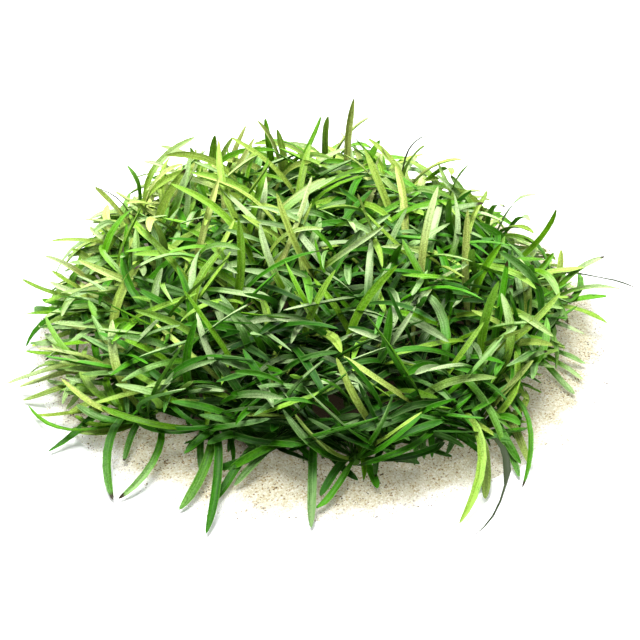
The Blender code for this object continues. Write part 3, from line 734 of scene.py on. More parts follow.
    def add_outline(self) -> None:
        """Places the leaves of the outline, each on the nearest rosette with room for it."""
        for wanted in OUTLINE:
            tip = self.view.seen_at(wanted.tip, wanted.height)
            foot = self.view.seen_at(wanted.foot, self.sand.lip + self.sand.rise / 2)
            order = sorted(range(len(self.places)), key=lambda i: (self.places[i].place - foot).length)
            for owner, nudge in itertools.product(order[: self.outline_feet], self.outline_nudges):
                foot_nudge, tip_nudge, bow_nudge = nudge
                foot_angle = math.radians(max(self.outline_steepest, wanted.foot_angle + foot_nudge))
                tip_angle = math.radians(wanted.tip_angle + tip_nudge)
                root = self.places[owner].place.copy()
                turned = 0.0, self.form.blade_width * wanted.width, wanted.bow + bow_nudge
                if self.add(owner, Leaf(root, tip, foot_angle, tip_angle, *turned)):
                    break
            else:
                LOG.info("%s: no room", wanted.name)

    def main_leaf(self, crown: Crown, turn: int, shorter: float, draw: random.Random) -> Leaf:
        """One main leaf, drawn by chance.

        Args:
            crown: the rosette that it grows from.
            turn: how many rounds of main leaves come before it.
            shorter: how much of its length it loses.
            draw: the source of chance.

        Returns:
            The leaf.
        """
        inner = turn / (self.leaves_each - 1)
        wander = draw.uniform(-self.heading_wander, self.heading_wander)
        heading = self.fanned(crown, turn * GOLDEN_ANGLE + wander)
        wander = draw.uniform(-self.spread_wander, self.spread_wander)
        spread = math.radians(self.first_spread - self.inner_steeper * inner + wander)
        foot = max(self.least_lean, spread + self.lean_of(crown, heading))
        bends = self.upright_bends if draw.random() < self.upright_share else self.arched_bends
        tip_angle = foot + math.radians(draw.uniform(*bends) * (1 - self.inner_unbent * inner))
        length = self.length_of(crown) * (draw.uniform(*self.length_shares) * (1 - shorter))
        twist = draw.uniform(-self.most_twist, self.most_twist)
        width = self.form.blade_width * draw.uniform(*self.width_shares)
        bow = draw.uniform(-self.form.side_bow, self.form.side_bow)
        return self.arched_leaf(crown, heading, (foot, tip_angle), length, (twist, width, bow))

    def add_arched(self) -> None:
        """Places the other main leaves, round by round, from the spreading ones to the upright ones."""
        draw = random.Random(Seed.MAIN_LEAVES.value)
        for turn, (owner, crown) in itertools.product(range(self.leaves_each), enumerate(self.places)):
            if len(self.leaves[owner]) >= self.leaves_each:
                continue
            for attempt in range(self.tries):
                leaf = self.main_leaf(crown, turn, self.late_shortening * attempt / self.tries, draw)
                if self.in_reach(leaf, draw) and self.add(owner, leaf):
                    break


@dataclass(frozen=True)
class FillRules:
    """How the smaller leaves fill a rosette in between its main leaves.

    Spreads and bends are in degrees, other angles in radians. A gap is a place and its half width and half
    height, in pixels of the picture.
    """

    each: int = 20
    each_at_edge: int = 32
    tries: int = 6
    try_shorter: float = 0.08
    lengths: Span = (0.62, 1.10)
    widths: Span = (0.66, 0.96)
    first_heading: float = 0.8
    steepest: float = 10.0
    flattest: float = 46.0
    spread_wander: float = 10.0
    bends: Span = (68.0, 142.0)
    edge_flatter: float = 12.0
    edge_wider: float = 0.14
    edge_unbent: float = 0.40
    side_slack: float = 16.0
    side_reach: float = 0.1498
    gaps: tuple[tuple[float, float, float, float], ...] = ((356, 402, 30, 13), (322, 398, 10, 26))
    gap_every: int = 3
    most_in_gap: int = 1
    most_twist: float = 0.8
    most_bow: float = 0.36
    sideways: float = 0.22
    more_sideways: float = 0.22

    @staticmethod
    def edge(crown: Crown) -> float:
        """How much a rosette is one of the mat's edge, 0 to 1."""
        return crown.share**3

    @staticmethod
    def beside(crown: Crown) -> float:
        """How much a rosette stands beside the middle and not before or behind it, 0 to 1."""
        return math.cos(crown.heading) ** 2

    def fills_gap(self, mat: Mat, leaf: Leaf) -> bool:
        """True if much of the leaf would show in one of the dark gaps low in front, where few leaves grow.

        Args:
            mat: the mat that it is part of.
            leaf: the leaf.

        Returns:
            Whether it would.
        """
        inside = 0
        for point in mat.form.path(leaf, mat.sand)[:: self.gap_every]:
            column, row = mat.view.seen_from(point)
            inside += any(
                math.hypot((column - x) / wide, (row - y) / high) < 1 for x, y, wide, high in self.gaps
            )
        return inside > self.most_in_gap

    def leaf(self, mat: Mat, crown: Crown, turn: int, each: int, trial: int, draw: random.Random) -> Leaf:
        """One filling leaf.

        Args:
            mat: the mat that it is part of.
            crown: the rosette that it grows from.
            turn: how many of the rosette's filling leaves come before it.
            each: how many filling leaves the rosette has.
            trial: how many times the leaf has found no place. It gets shorter each time.
            draw: the source of chance.

        Returns:
            The leaf.
        """
        edge = self.edge(crown)
        inner = turn / each
        wander = draw.uniform(-mat.heading_wander, mat.heading_wander)
        heading = mat.fanned(crown, turn * GOLDEN_ANGLE + self.first_heading + wander)
        heading -= (self.sideways + self.more_sideways * self.beside(crown)) * math.sin(2 * heading)
        flattest = self.flattest + self.edge_flatter * edge
        wander = draw.uniform(-self.spread_wander, self.spread_wander)
        spread = flattest + (self.steepest - flattest) * inner + wander
        foot = max(mat.least_lean, math.radians(spread) + mat.lean_of(crown, heading))
        bend = draw.uniform(*self.bends) * (1 - mat.inner_unbent * inner) * (1 - self.edge_unbent * edge)
        length = mat.length_of(crown) * draw.uniform(*self.lengths) * (1 - self.try_shorter * trial)
        width = mat.form.blade_width * draw.uniform(*self.widths) * (1 + self.edge_wider * edge)
        twist = draw.uniform(-self.most_twist, self.most_twist)
        bow = draw.uniform(-self.most_bow, self.most_bow)
        return mat.arched_leaf(crown, heading, (foot, foot + math.radians(bend)), length, (twist, width, bow))

    def leaves(self, mat: Mat, owner: int) -> Iterator[Leaf]:
        """The filling leaves of one rosette.

        Args:
            mat: the mat that it is part of.
            owner: index of the rosette.

        Yields:
            The leaves.
        """
        crown = mat.places[owner]
        draw = random.Random(Seed.FILLING.value + owner)
        edge = self.edge(crown)
        extra = self.side_slack * edge * self.beside(crown)
        each = round(self.each + (self.each_at_edge - self.each) * edge)
        for turn in range(each):
            for trial in range(self.tries):
                leaf = self.leaf(mat, crown, turn, each, trial, draw)
                fits = mat.in_reach(leaf, draw, extra) and abs(leaf.tip.x) < self.side_reach
                if fits and not self.fills_gap(mat, leaf):
                    yield leaf
                    break


class BladeEdge(Enum):
    """The corners of a leaf's cross-section, by their place on the template's unit circle."""

    LEFT = (1, 0)
    TOP = (0, 1)
    RIGHT = (-1, 0)
    UNDER = (0, -1)


@dataclass
class LeafSculptor:
    """Makes the fine mesh of a rosette's leaves, each one closed skin of stalk, channelled blade and tip."""

    form: LeafForm
    sand: SandForm
    rows: tuple[float, ...] = (0.0, 0.1, 0.22, 0.33, 0.43, 0.54, 0.65, 0.76, 0.86, 0.93, 0.98, 1.0)
    width_at: tuple[Span, ...] = (
        (0.0, 0.44), (0.10, 0.46), (0.20, 0.58), (0.32, 0.80), (0.43, 0.94), (0.54, 1.0),
        (0.74, 1.0), (0.86, 0.89), (0.93, 0.66), (0.98, 0.34), (1.0, 0.0),
    )
    blade_starts: Span = (0.2, 0.45)
    channel: Span = (0.08, 0.36)
    stalk_depth: float = 0.0009
    blade_depth: float = 0.00032
    tip_thinning: float = 3.2
    wave: float = 0.00022
    wave_counts: Span = (1.2, 3.0)
    strand_width: float = 0.002
    strand_swell: float = 1.9
    least_strand: float = 0.0010
    shrivel: Span = (0.54, 0.66)
    hook: float = 0.0028
    hook_starts: float = 0.82
    template: Optional[bpy.types.Mesh] = None

    def make_template(self) -> None:
        """Makes one leaf in template space: corners on a unit circle in X and Y, rows along Z."""
        bm = bmesh.new()
        bmesh.ops.create_circle(bm, cap_ends=True, segments=len(BladeEdge), radius=1.0)
        face = next(iter(bm.faces))
        bm.normal_update()
        if face.normal.z < 0:
            bmesh.ops.reverse_faces(bm, faces=[face])
        for _ in self.rows[1:]:
            face = bmesh.ops.extrude_discrete_faces(bm, faces=[face])["faces"][0]
            bmesh.ops.translate(bm, verts=list(face.verts), vec=(0, 0, 1))
        tip = Vector((0, 0, len(self.rows) - 1))
        bmesh.ops.pointmerge(bm, verts=list(face.verts), merge_co=tip)
        for made in bm.faces:
            made.smooth = True
        for edge in bm.edges:
            edge.smooth = not any(abs(round(vert.co.x)) == 1 for vert in edge.verts) or self.is_across(edge)
        self.template = bpy.data.meshes.new("leaf_template")
        bm.to_mesh(self.template)
        bm.free()

    @staticmethod
    def is_across(edge: bmesh.types.BMEdge) -> bool:
        """True if an edge of the template runs round the leaf and not along it."""
        first, second = edge.verts
        return round(first.co.z) == round(second.co.z)

    def frames(self, leaves: Sequence[Leaf]) -> tuple[np.ndarray, ...]:
        """The middle of each row of each leaf, and the directions of the leaf there.

        Args:
            leaves: the leaves.

        Returns:
            The middles, the level direction across the leaf, and its own directions sideways and upwards.
        """
        path = np.array([[tuple(point) for point in self.form.path(leaf, self.sand)] for leaf in leaves])
        tangent = unit(np.gradient(path, axis=1))
        position = np.array(self.rows) * self.form.path_steps
        low = np.minimum(position.astype(int), self.form.path_steps - 1)
        part = (position - low)[None, :, None]
        centre = path[:, low] * (1 - part) + path[:, low + 1] * part
        along = unit(tangent[:, low] * (1 - part) + tangent[:, low + 1] * part)
        reach = path[:, -1] - path[:, 0]
        level = unit(np.stack([-reach[:, 1], reach[:, 0], np.zeros(len(leaves))], axis=1))[:, None, :]
        side = unit(level - along * (level * along).sum(-1, keepdims=True))
        face = np.cross(along, side)
        twist = np.array([leaf.twist for leaf in leaves])[:, None, None] * np.array(self.rows)[None, :, None]
        turned = side * np.cos(twist) + face * np.sin(twist)
        return centre, level, turned, face * np.cos(twist) - side * np.sin(twist)

    def width_shares(self) -> np.ndarray:
        """Each row's share of the leaf's full width."""
        stops, shares = zip(*self.width_at)
        return np.interp(self.rows, stops, shares)[None, :]

    def half_widths(self, width: np.ndarray) -> np.ndarray:
        """Half the width of each leaf at each row.

        Args:
            width: the leaves' own widths. A strand's is swollen low down and then shrivels.

        Returns:
            An array of leaf by row.
        """
        shrivelled = np.interp(self.rows, self.shrivel, (1.0, 0.0))[None, :]
        strand = np.maximum(width * self.strand_swell - self.least_strand, 0) * shrivelled
        full = np.where(width < self.strand_width, self.least_strand + strand, width)
        return self.width_shares() * full / 2

    def ripples(self, blade: np.ndarray, count: int, draw: np.random.Generator) -> np.ndarray:
        """How far the two edges of each leaf lie above or below the blade at each row.

        Args:
            blade: each row's share of blade and not stalk.
            count: how many leaves there are.
            draw: the source of chance.

        Returns:
            An array of leaf by edge by row.
        """
        phase = draw.uniform(0, math.tau, (count, 2, 1))
        pace = draw.uniform(*self.wave_counts, (count, 2, 1))
        wave = np.sin(phase + pace * math.tau * np.array(self.rows)[None, None, :])
        return self.wave * wave * blade[:, None, :]

    def corner_places(self, leaves: Sequence[Leaf], draw: np.random.Generator) -> np.ndarray:
        """Where the template's corners go for each leaf.

        Args:
            leaves: the leaves.
            draw: the source of chance.

        Returns:
            An array of leaf by template corner by X, Y and Z.
        """
        count = len(leaves)
        centre, level, side, face = self.frames(leaves)
        width = np.array([leaf.width for leaf in leaves])[:, None]
        half = self.half_widths(width)
        hook = np.interp(self.rows, (self.hook_starts, 1.0), (0.0, 1.0)) ** 2 * self.hook
        centre = centre - level * ((width < self.strand_width) * hook[None, :])[..., None]
        blade = np.interp(self.rows, self.blade_starts, (0.0, 1.0))[None, :]
        channel = draw.uniform(*self.channel, (count, 1)) * half * 2 * blade
        deep = self.stalk_depth * (1 - blade) + self.blade_depth * blade
        deep = deep * np.minimum(1, self.width_shares() * self.tip_thinning)
        ripple = self.ripples(blade, count, draw)
        corners = np.array([tuple(vert.co) for vert in self.template.vertices])
        sideways, upward, row = np.rint(corners).T
        row = row.astype(int)
        drop = np.where(upward > 0, channel[:, row], 0) + np.where(upward < 0, (channel + deep)[:, row], 0)
        lift = np.where(sideways > 0, ripple[:, 0][:, row], 0)
        lift = lift + np.where(sideways < 0, ripple[:, 1][:, row], 0)
        places = centre[:, row] + side[:, row] * (half[:, row] * sideways)[..., None]
        return places + face[:, row] * (lift - drop)[..., None]

    def blade_map(self) -> np.ndarray:
        """The place on the leaf of each face corner of the template.

        Returns:
            For each, its share of the way round the leaf, 0 to 0.5 on top and on to 1 beneath, and its
            share of the way up.
        """
        order = {edge.value: index for index, edge in enumerate(BladeEdge)}
        last = len(BladeEdge) - 1
        found = []
        for face in self.template.polygons:
            places = [self.template.vertices[index].co for index in face.vertices]
            around = [order.get((round(co.x), round(co.y))) for co in places]
            if 0 in around and last in around:
                around = [last + 1 if place == 0 else place for place in around]
            known = [place for place in around if place is not None]
            middle = sum(known) / len(known)
            for place, co in zip(around, places):
                found.append(((middle if place is None else place) / (last + 1), self.rows[round(co.z)]))
        return np.array(found)


def unit(rows: np.ndarray) -> np.ndarray:
    """Vectors of length 1 along the last axis."""
    return rows / np.maximum(np.linalg.norm(rows, axis=-1, keepdims=True), NO_LENGTH)


class Sketch:
    """A material's nodes, written down one after another."""

    def __init__(self, name: str) -> None:
        """Starts a material with nothing in it but its output."""
        self.material = bpy.data.materials.new(name)
        self.material.use_nodes = True
        self.tree = self.material.node_tree
        self.tree.nodes.clear()
        self.output = self.tree.nodes.new("ShaderNodeOutputMaterial")

    def put(self, socket: Socket, value: object) -> None:
        """Joins another node's output to an input, or writes a value there."""
        if isinstance(value, Socket):
            self.tree.links.new(value, socket)
        else:
            socket.default_value = value

    def node(self, kind: str, settings: Optional[dict] = None, **inputs: object) -> bpy.types.Node:
        """Adds a node.

        Args:
            kind: its type, without the leading ShaderNode.
            settings: its properties by name.
            inputs: values or sockets by input name, with _ for a space, or in0, in1 by number.

        Returns:
            The node.
        """
        made = self.tree.nodes.new(f"ShaderNode{kind}")
        for key, value in (settings or {}).items():
            setattr(made, key, value)
        for key, value in inputs.items():
            numbered = key[:2] == "in" and key[2:].isdigit()
            self.put(made.inputs[int(key[2:]) if numbered else key.replace("_", " ")], value)
        return made

    def math(self, operation: str, first: object, second: object = 0.0, third: object = 0.0) -> Socket:
        """The result of one sum on numbers or sockets."""
        made = self.node("Math", {"operation": operation}, in0=first, in1=second, in2=third)
        return made.outputs[0]

    def times(self, first: object, second: object) -> Socket:
        """The product of two numbers or sockets."""
        return self.math("MULTIPLY", first, second)

    def plus(self, first: object, second: object) -> Socket:
        """The sum of two numbers or sockets."""
        return self.math("ADD", first, second)

    def line(self, value: Socket, factor: object, offset: object) -> Socket:
        """A value times a factor plus an offset."""
        return self.math("MULTIPLY_ADD", value, factor, offset)

    def own(self, value: Socket, count: float) -> Socket:
        """What runs from 0 to 1 a number of times while a value does so once."""
        return self.math("FRACT", self.times(value, count))

    def smooth(self, value: object, start: float, end: float) -> Socket:
        """Turns a value into a share.

        Args:
            value: a number or a socket.
            start: where the share is 0.
            end: where it is 1, above or below the start.

        Returns:
            The share, smooth in between.
        """
        made = self.node("MapRange", {"interpolation_type": "SMOOTHSTEP"}, Value=value)
        ends = (1.0, 0.0) if start > end else (0.0, 1.0)
        places = zip(("From Min", "From Max", "To Min", "To Max"), (*sorted((start, end)), *ends))
        for name, place in places:
            made.inputs[name].default_value = place
        return made.outputs[0]

    def blend(self, share: object, first: object, second: object) -> Socket:
        """Two colours blended by a share."""
        made = self.node("Mix", {"data_type": "RGBA"}, in0=share, in6=first, in7=second)
        return made.outputs[2]

    def ramp(self, value: object, stops: Stops) -> Socket:
        """A colour looked up on a scale.

        Args:
            value: the place on the scale.
            stops: the scale's colours, each with its place.

        Returns:
            The colour.
        """
        made = self.node("ValToRGB", Fac=value)
        elements = made.color_ramp.elements
        while len(elements) < len(stops):
            elements.new(0.5)
        for element, (place, colour) in zip(elements, stops):
            element.position = place
            element.color = colour
        return made.outputs[0]

    def split(self, vector: Socket) -> Sequence[Socket]:
        """The X, Y and Z of a vector."""
        return self.node("SeparateXYZ", in0=vector).outputs

    def map(self, name: str) -> Sequence[Socket]:
        """The two numbers of a map that the mesh carries."""
        return self.split(self.node("UVMap", {"uv_map": name}).outputs[0])

    def place(self) -> Socket:
        """The place on the object."""
        return self.node("TexCoord").outputs["Object"]

    def clouds(self, at: Socket, scale: float = 1.0, detail: float = 4.0, roughness: float = 0.7) -> Socket:
        """A cloudy pattern between 0 and 1."""
        made = self.node("TexNoise", Vector=at, Scale=scale, Detail=detail, Roughness=roughness)
        return made.outputs[0]

    def bump(self, height: Socket, strength: float, depth: float) -> Socket:
        """The normal of a surface with a fine relief."""
        return self.node("Bump", Height=height, Strength=strength, Distance=depth).outputs[0]

    def finish(self, shader: Socket) -> bpy.types.Material:
        """Joins a shader to the output and returns the material."""
        self.tree.links.new(shader, self.output.inputs["Surface"])
        return self.material


class BladeMaps(NamedTuple):
    """What the leaf finish reads: the place on the blade, each leaf's own numbers, and two patterns."""

    around: Socket
    along: Socket
    tint: Socket
    age: Socket
    grey: Socket
    chance: Socket
    from_rib: Socket
    streaks: Socket
    mottle: Socket


@dataclass(frozen=True)
class LeafFinish:
    """Living leaf: satin green, streaked lengthwise, with light coming through, a painted sheen and painted
    shade.

    A pair is where a share starts and where it is whole, or else a factor and an offset. In a relief it is
    strength and depth, and in counts it is round the leaf and along it.
    """

    roughness: Span = (0.24, 0.34)
    shine: float = 0.16
    through: float = 0.16
    through_glow: float = 0.45
    relief: Span = (0.35, 0.0002)
    groove: Span = (0.0, 0.07)
    groove_depth: float = 0.6
    streak_depth: float = 0.8
    leaf_shift: float = 37.0
    streak_counts: Span = (12.0, 3.0)
    mottle_counts: Span = (7.0, 22.0)
    cell: float = 0.00065
    mottle_tint: Span = (0.22, -0.11)
    # The next four fields set a painted sheen: leaves tinted pale towards their tips, along streaks and most
    # where they face up.
    painted_sheen_up: Span = (0.34, 0.80)
    painted_sheen_streaks: Span = (0.55, 1.25)
    sheen_facing: Span = (0.40, 0.96)
    upward_sheen: Span = (0.75, 0.22)
    olive_chance: Span = (0.84, 0.88)
    olive_tint: Span = (0.45, 0.75)
    olive_up: Span = (0.30, 0.60)
    olive_share: float = 0.55
    streak_light: Span = (2.30, -0.11)
    # along_light: darker towards the base, partly the leaf's own colour and partly painted shade
    along_light: Span = (0.90, 0.32)
    own_light: Span = (0.62, 0.66)
    own_count: float = 7.0
    cell_light: Span = (1.50, 0.25)
    # From here to fold_count: one half of each leaf painted darker than the other, as painted shade on its
    # fold.
    fold: Span = (0.235, 0.265)
    fold_painted_shade: Span = (0.9, -0.45)
    fold_count: float = 13.0
    lightest: float = 1.38
    # vivid: lighter parts lose saturation, like painted highlights
    vivid: Span = (-0.10, 1.14)
    stalk_up: Span = (0.36, 0.06)
    stalk_share: float = 0.40
    rib_wide: Span = (0.075, 0.015)
    rib_up: Span = (0.98, 0.7)
    rib_share: float = 0.13
    # margin: where the painted highlight along the leaf's edges lies and how strong it is
    margin: Span = (0.38, 0.49)
    margin_share: float = 0.30
    under_share: float = 0.3
    aged: Span = (0.90, 0.94)
    shrivelled: Span = (1.2, 1.4)
    end: Span = (0.965, 0.995)
    end_uneven: float = 0.06
    spots: Span = (0.66, 0.74)
    spots_age: Span = (0.5, 1.0)
    spots_share: float = 0.6
    tints: Stops = (
        (0.0, (0.009, 0.068, 0.002, 1)),
        (0.22, (0.024, 0.140, 0.003, 1)),
        (0.50, (0.064, 0.280, 0.009, 1)),
        (0.72, (0.190, 0.440, 0.030, 1)),
        (0.90, (0.445, 0.585, 0.120, 1)),
        (1.0, (0.600, 0.660, 0.215, 1)),
    )
    # pale: the colour of the painted sheen
    pale: Colour = (0.455, 0.585, 0.295, 1)
    olive: Colour = (0.270, 0.340, 0.100, 1)
    grey: Colour = (0.098, 0.262, 0.046, 1)
    stalk: Colour = (0.085, 0.280, 0.012, 1)
    # rib: the midrib's colour, also the colour of the painted highlight on the margins
    rib: Colour = (0.330, 0.540, 0.150, 1)
    withered: Colour = (0.035, 0.022, 0.008, 1)
    dried: Colour = (0.034, 0.052, 0.018, 1)
    glow: Colour = (0.255, 0.610, 0.030, 1)

    def maps(self, sketch: Sketch) -> BladeMaps:
        """Reads the maps of the mesh and lays streaks and mottles along each blade.

        Args:
            sketch: the material's nodes.

        Returns:
            What the colours are made from.
        """
        (around, along, _), (tint, age, _), (grey, chance, _) = map(sketch.map, ("blade", "growth", "state"))
        shift = sketch.times(chance, self.leaf_shift)
        streaks_at = sketch.node(
            "CombineXYZ",
            in0=sketch.line(around, self.streak_counts[0], shift),
            in1=sketch.times(along, self.streak_counts[1]),
            in2=shift,
        )
        mottle_at = sketch.node(
            "CombineXYZ",
            in0=sketch.times(around, self.mottle_counts[0]),
            in1=sketch.line(along, self.mottle_counts[1], shift),
            in2=shift,
        )
        over_face = sketch.own(around, 2.0)
        from_rib = sketch.math("ABSOLUTE", sketch.math("SUBTRACT", over_face, 0.5))
        patterns = sketch.clouds(streaks_at.outputs[0]), sketch.clouds(mottle_at.outputs[0])
        return BladeMaps(around, along, tint, age, grey, chance, from_rib, *patterns)

    def tinted(self, sketch: Sketch, maps: BladeMaps) -> Socket:
        """The leaf's own green, with a pale painted sheen that is strongest on what faces up, and olive tips
        on a few leaves.

        Args:
            sketch: the material's nodes.
            maps: what the colours are made from.

        Returns:
            The colour.
        """
        colour = sketch.ramp(sketch.plus(maps.tint, sketch.line(maps.mottle, *self.mottle_tint)), self.tints)
        # painted sheen: a pale tint from each leaf's greyness, on its outer part and along streaks, strongest
        # where the surface faces up
        outer = sketch.times(maps.grey, sketch.smooth(maps.along, *self.painted_sheen_up))
        painted_sheen = sketch.times(outer, sketch.smooth(sketch.plus(maps.streaks, outer), *self.painted_sheen_streaks))
        upward = sketch.split(sketch.node("NewGeometry").outputs["Normal"])[2]
        upward_sheen = sketch.line(sketch.smooth(upward, *self.sheen_facing), *self.upward_sheen)
        colour = sketch.blend(sketch.times(painted_sheen, upward_sheen), colour, self.pale)
        is_olive = sketch.smooth(maps.chance, *self.olive_chance)
        is_olive = sketch.times(is_olive, sketch.smooth(maps.tint, *self.olive_tint))
        olive = sketch.times(is_olive, sketch.smooth(maps.along, *self.olive_up))
        return sketch.blend(sketch.times(olive, self.olive_share), colour, self.olive)

    def lit(self, sketch: Sketch, maps: BladeMaps, colour: Socket) -> Socket:
        """Makes a colour lighter and darker in streaks, up the leaf, from leaf to leaf and from half to half.
        Darker towards the base is partly painted shade, and one half darker than the other is painted shade.

        Args:
            sketch: the material's nodes.
            maps: what the colours are made from.
            colour: the colour.

        Returns:
            The colour with its lights.
        """
        light = sketch.line(maps.streaks, *self.streak_light)
        # darker towards the base: partly the leaf's own colour, partly painted shade
        light = sketch.times(light, sketch.line(maps.along, *self.along_light))
        light = sketch.times(light, sketch.line(sketch.own(maps.chance, self.own_count), *self.own_light))
        cells = sketch.clouds(sketch.place(), 1 / self.cell, detail=1.0, roughness=0.5)
        light = sketch.times(light, sketch.line(cells, *self.cell_light))
        # painted shade: one half of the leaf darker than the other, the side by chance
        fold = sketch.math("SUBTRACT", sketch.smooth(maps.around, *self.fold), 0.5)
        tilt = sketch.line(sketch.own(maps.chance, self.fold_count), *self.fold_painted_shade)
        light = sketch.times(light, sketch.line(fold, tilt, 1.0))
        light = sketch.math("MINIMUM", light, self.lightest)
        # less saturated where lighter, like a painted highlight
        vivid = sketch.line(light, *self.vivid)
        return sketch.node("HueSaturation", Value=light, Saturation=vivid, Color=colour).outputs[0]

    def marked(self, sketch: Sketch, maps: BladeMaps, colour: Socket) -> Socket:
        """Marks the stalk, midrib and underside, lightens the margins as a painted highlight, and marks what
        is dried, withered or spotted.

        Args:
            sketch: the material's nodes.
            maps: what the colours are made from.
            colour: the colour.

        Returns:
            The colour with its marks.
        """
        rib = sketch.times(sketch.smooth(maps.from_rib, *self.rib_wide), self.rib_share)
        end = sketch.smooth(sketch.line(maps.mottle, self.end_uneven, maps.along), *self.end)
        spots = sketch.smooth(maps.mottle, *self.spots)
        spots = sketch.times(spots, sketch.smooth(maps.age, *self.spots_age))
        for share, mark in (
            (sketch.times(sketch.smooth(maps.along, *self.stalk_up), self.stalk_share), self.stalk),
            (sketch.times(rib, sketch.smooth(maps.along, *self.rib_up)), self.rib),
            # painted highlight along the margins
            (sketch.times(sketch.smooth(maps.from_rib, *self.margin), self.margin_share), self.rib),
            (sketch.times(sketch.math("GREATER_THAN", maps.around, 0.5), self.under_share), self.grey),
            (sketch.smooth(maps.age, *self.shrivelled), self.dried),
            (sketch.times(sketch.smooth(maps.age, *self.aged), end), self.withered),
            (sketch.times(spots, self.spots_share), self.withered),
        ):
            colour = sketch.blend(share, colour, mark)
        return colour

    def material(self) -> bpy.types.Material:
        """Writes the material."""
        sketch = Sketch("leaf_green")
        maps = self.maps(sketch)
        colour = self.marked(sketch, maps, self.lit(sketch, maps, self.tinted(sketch, maps)))
        groove = sketch.times(sketch.smooth(maps.from_rib, *self.groove), self.groove_depth)
        relief = sketch.plus(groove, sketch.times(maps.streaks, self.streak_depth))
        body = sketch.node(
            "BsdfPrincipled",
            Base_Color=colour,
            Roughness=sketch.line(maps.mottle, *self.roughness),
            Normal=sketch.bump(relief, *self.relief),
            Specular_IOR_Level=self.shine,
        )
        through = sketch.node("BsdfTranslucent", Color=sketch.blend(self.through_glow, colour, self.glow))
        mixed = sketch.node("MixShader", Fac=self.through, in1=body.outputs[0], in2=through.outputs[0])
        return sketch.finish(mixed.outputs[0])


@dataclass(frozen=True)
class SandFinish:
    """Pale aquarium sand: cream grains with tan, brown and black ones, brown with detritus and painted shade
    under the plants, glowing a little as painted light.

    The radii are the patch's. Other pairs are as in the leaf finish.
    """

    radii: Span
    grain: float = 0.00062
    grain_round: float = 1.4
    relief: Span = (0.8, 0.0004)
    roughness: float = 0.92
    clump_scale: float = 55.0
    clump_tone: Span = (0.30, -0.13)
    clump_edge: float = 0.16
    whiter: Span = (1.0, 1.10)
    # where the dark brown of detritus and painted shade under the plants starts and is whole
    littered_and_shaded: Span = (0.87, 0.74)
    # the sand glows with its own colour: painted light that lifts its shadows
    painted_glow: float = 0.45
    # the colour of the detritus and painted shade under the plants
    litter_and_shade: Colour = (0.030, 0.022, 0.012, 1)
    white: Colour = (0.900, 0.895, 0.880, 1)
    grains: Stops = (
        (0.0, (0.035, 0.022, 0.014, 1)),
        (0.03, (0.140, 0.082, 0.036, 1)),
        (0.07, (0.310, 0.225, 0.100, 1)),
        (0.18, (0.440, 0.380, 0.230, 1)),
        (0.45, (0.500, 0.470, 0.340, 1)),
        (0.8, (0.540, 0.522, 0.400, 1)),
        (1.0, (0.640, 0.620, 0.530, 1)),
    )

    def material(self) -> bpy.types.Material:
        """Writes the material."""
        sketch = Sketch("pale_sand")
        place = sketch.place()
        cells = sketch.node("TexVoronoi", Vector=place, Scale=1 / self.grain)
        clumps = sketch.clouds(place, self.clump_scale, detail=3.0, roughness=0.5)
        pick = sketch.node("SeparateColor", in0=cells.outputs["Color"]).outputs[0]
        colour = sketch.ramp(sketch.plus(pick, sketch.line(clumps, *self.clump_tone)), self.grains)
        sides = [sketch.math("DIVIDE", *pair) for pair in zip(sketch.split(place), self.radii)]
        share = sketch.math("SQRT", sketch.plus(*(sketch.times(side, side) for side in sides)))
        uneven = sketch.line(clumps, self.clump_edge, share)
        colour = sketch.blend(sketch.smooth(uneven, *self.whiter), colour, self.white)
        # dark brown under the plants: detritus and painted shade
        colour = sketch.blend(sketch.smooth(uneven, *self.littered_and_shaded), colour, self.litter_and_shade)
        height = sketch.math("SUBTRACT", 1.0, sketch.times(cells.outputs["Distance"], self.grain_round))
        body = sketch.node(
            "BsdfPrincipled",
            Base_Color=colour,
            Roughness=self.roughness,
            Normal=sketch.bump(height, *self.relief),
            # painted light: a glow that lifts the sand's shadows
            Emission_Color=colour,
            Emission_Strength=self.painted_glow,
        )
        return sketch.finish(body.outputs[0])


@dataclass(frozen=True)
class GrainFinish:
    """The loose grains: each about one colour."""

    patch: float = 0.0021
    roughness: float = 0.7
    grains: Stops = (
        (0.0, (0.140, 0.095, 0.050, 1)),
        (0.05, (0.400, 0.300, 0.170, 1)),
        (0.15, (0.620, 0.550, 0.400, 1)),
        (0.42, (0.740, 0.710, 0.590, 1)),
        (1.0, (0.880, 0.870, 0.810, 1)),
    )

    def material(self) -> bpy.types.Material:
        """Writes the material."""
        sketch = Sketch("loose_grain")
        cells = sketch.node("TexVoronoi", Vector=sketch.place(), Scale=1 / self.patch)
        pick = sketch.node("SeparateColor", in0=cells.outputs["Color"]).outputs[0]
        colour = sketch.ramp(pick, self.grains)
        body = sketch.node("BsdfPrincipled", Base_Color=colour, Roughness=self.roughness)
        return sketch.finish(body.outputs[0])


@dataclass(frozen=True)
class FloorFinish:
    """A plain pale studio floor, lit a little from within so that shadows on it stay faint."""

    colour: Colour = (0.92, 0.92, 0.92, 1)
    roughness: float = 0.9
    glow: float = 0.22

    def material(self) -> bpy.types.Material:
        """Writes the material."""
        sketch = Sketch("pale_floor")
        body = sketch.node(
            "BsdfPrincipled",
            Base_Color=self.colour,
            Roughness=self.roughness,
            Emission_Color=self.colour,
            Emission_Strength=self.glow,
        )
        return sketch.finish(body.outputs[0])


def new_piece(name: str, mesh: bpy.types.Mesh, surface: bpy.types.Material) -> bpy.types.Object:
    """Makes an object at the origin.

    Args:
        name: its name.
        mesh: its mesh.
        surface: its material.

    Returns:
        The object.
    """
    mesh.materials.append(surface)
    made = bpy.data.objects.new(name, mesh)
    bpy.context.scene.collection.objects.link(made)
    return made


def grade(values: np.ndarray, start: float, width: float) -> np.ndarray:
    """0 up to a start, then rising evenly to 1 over a width."""
    return np.clip((values - start) / width, 0, 1)


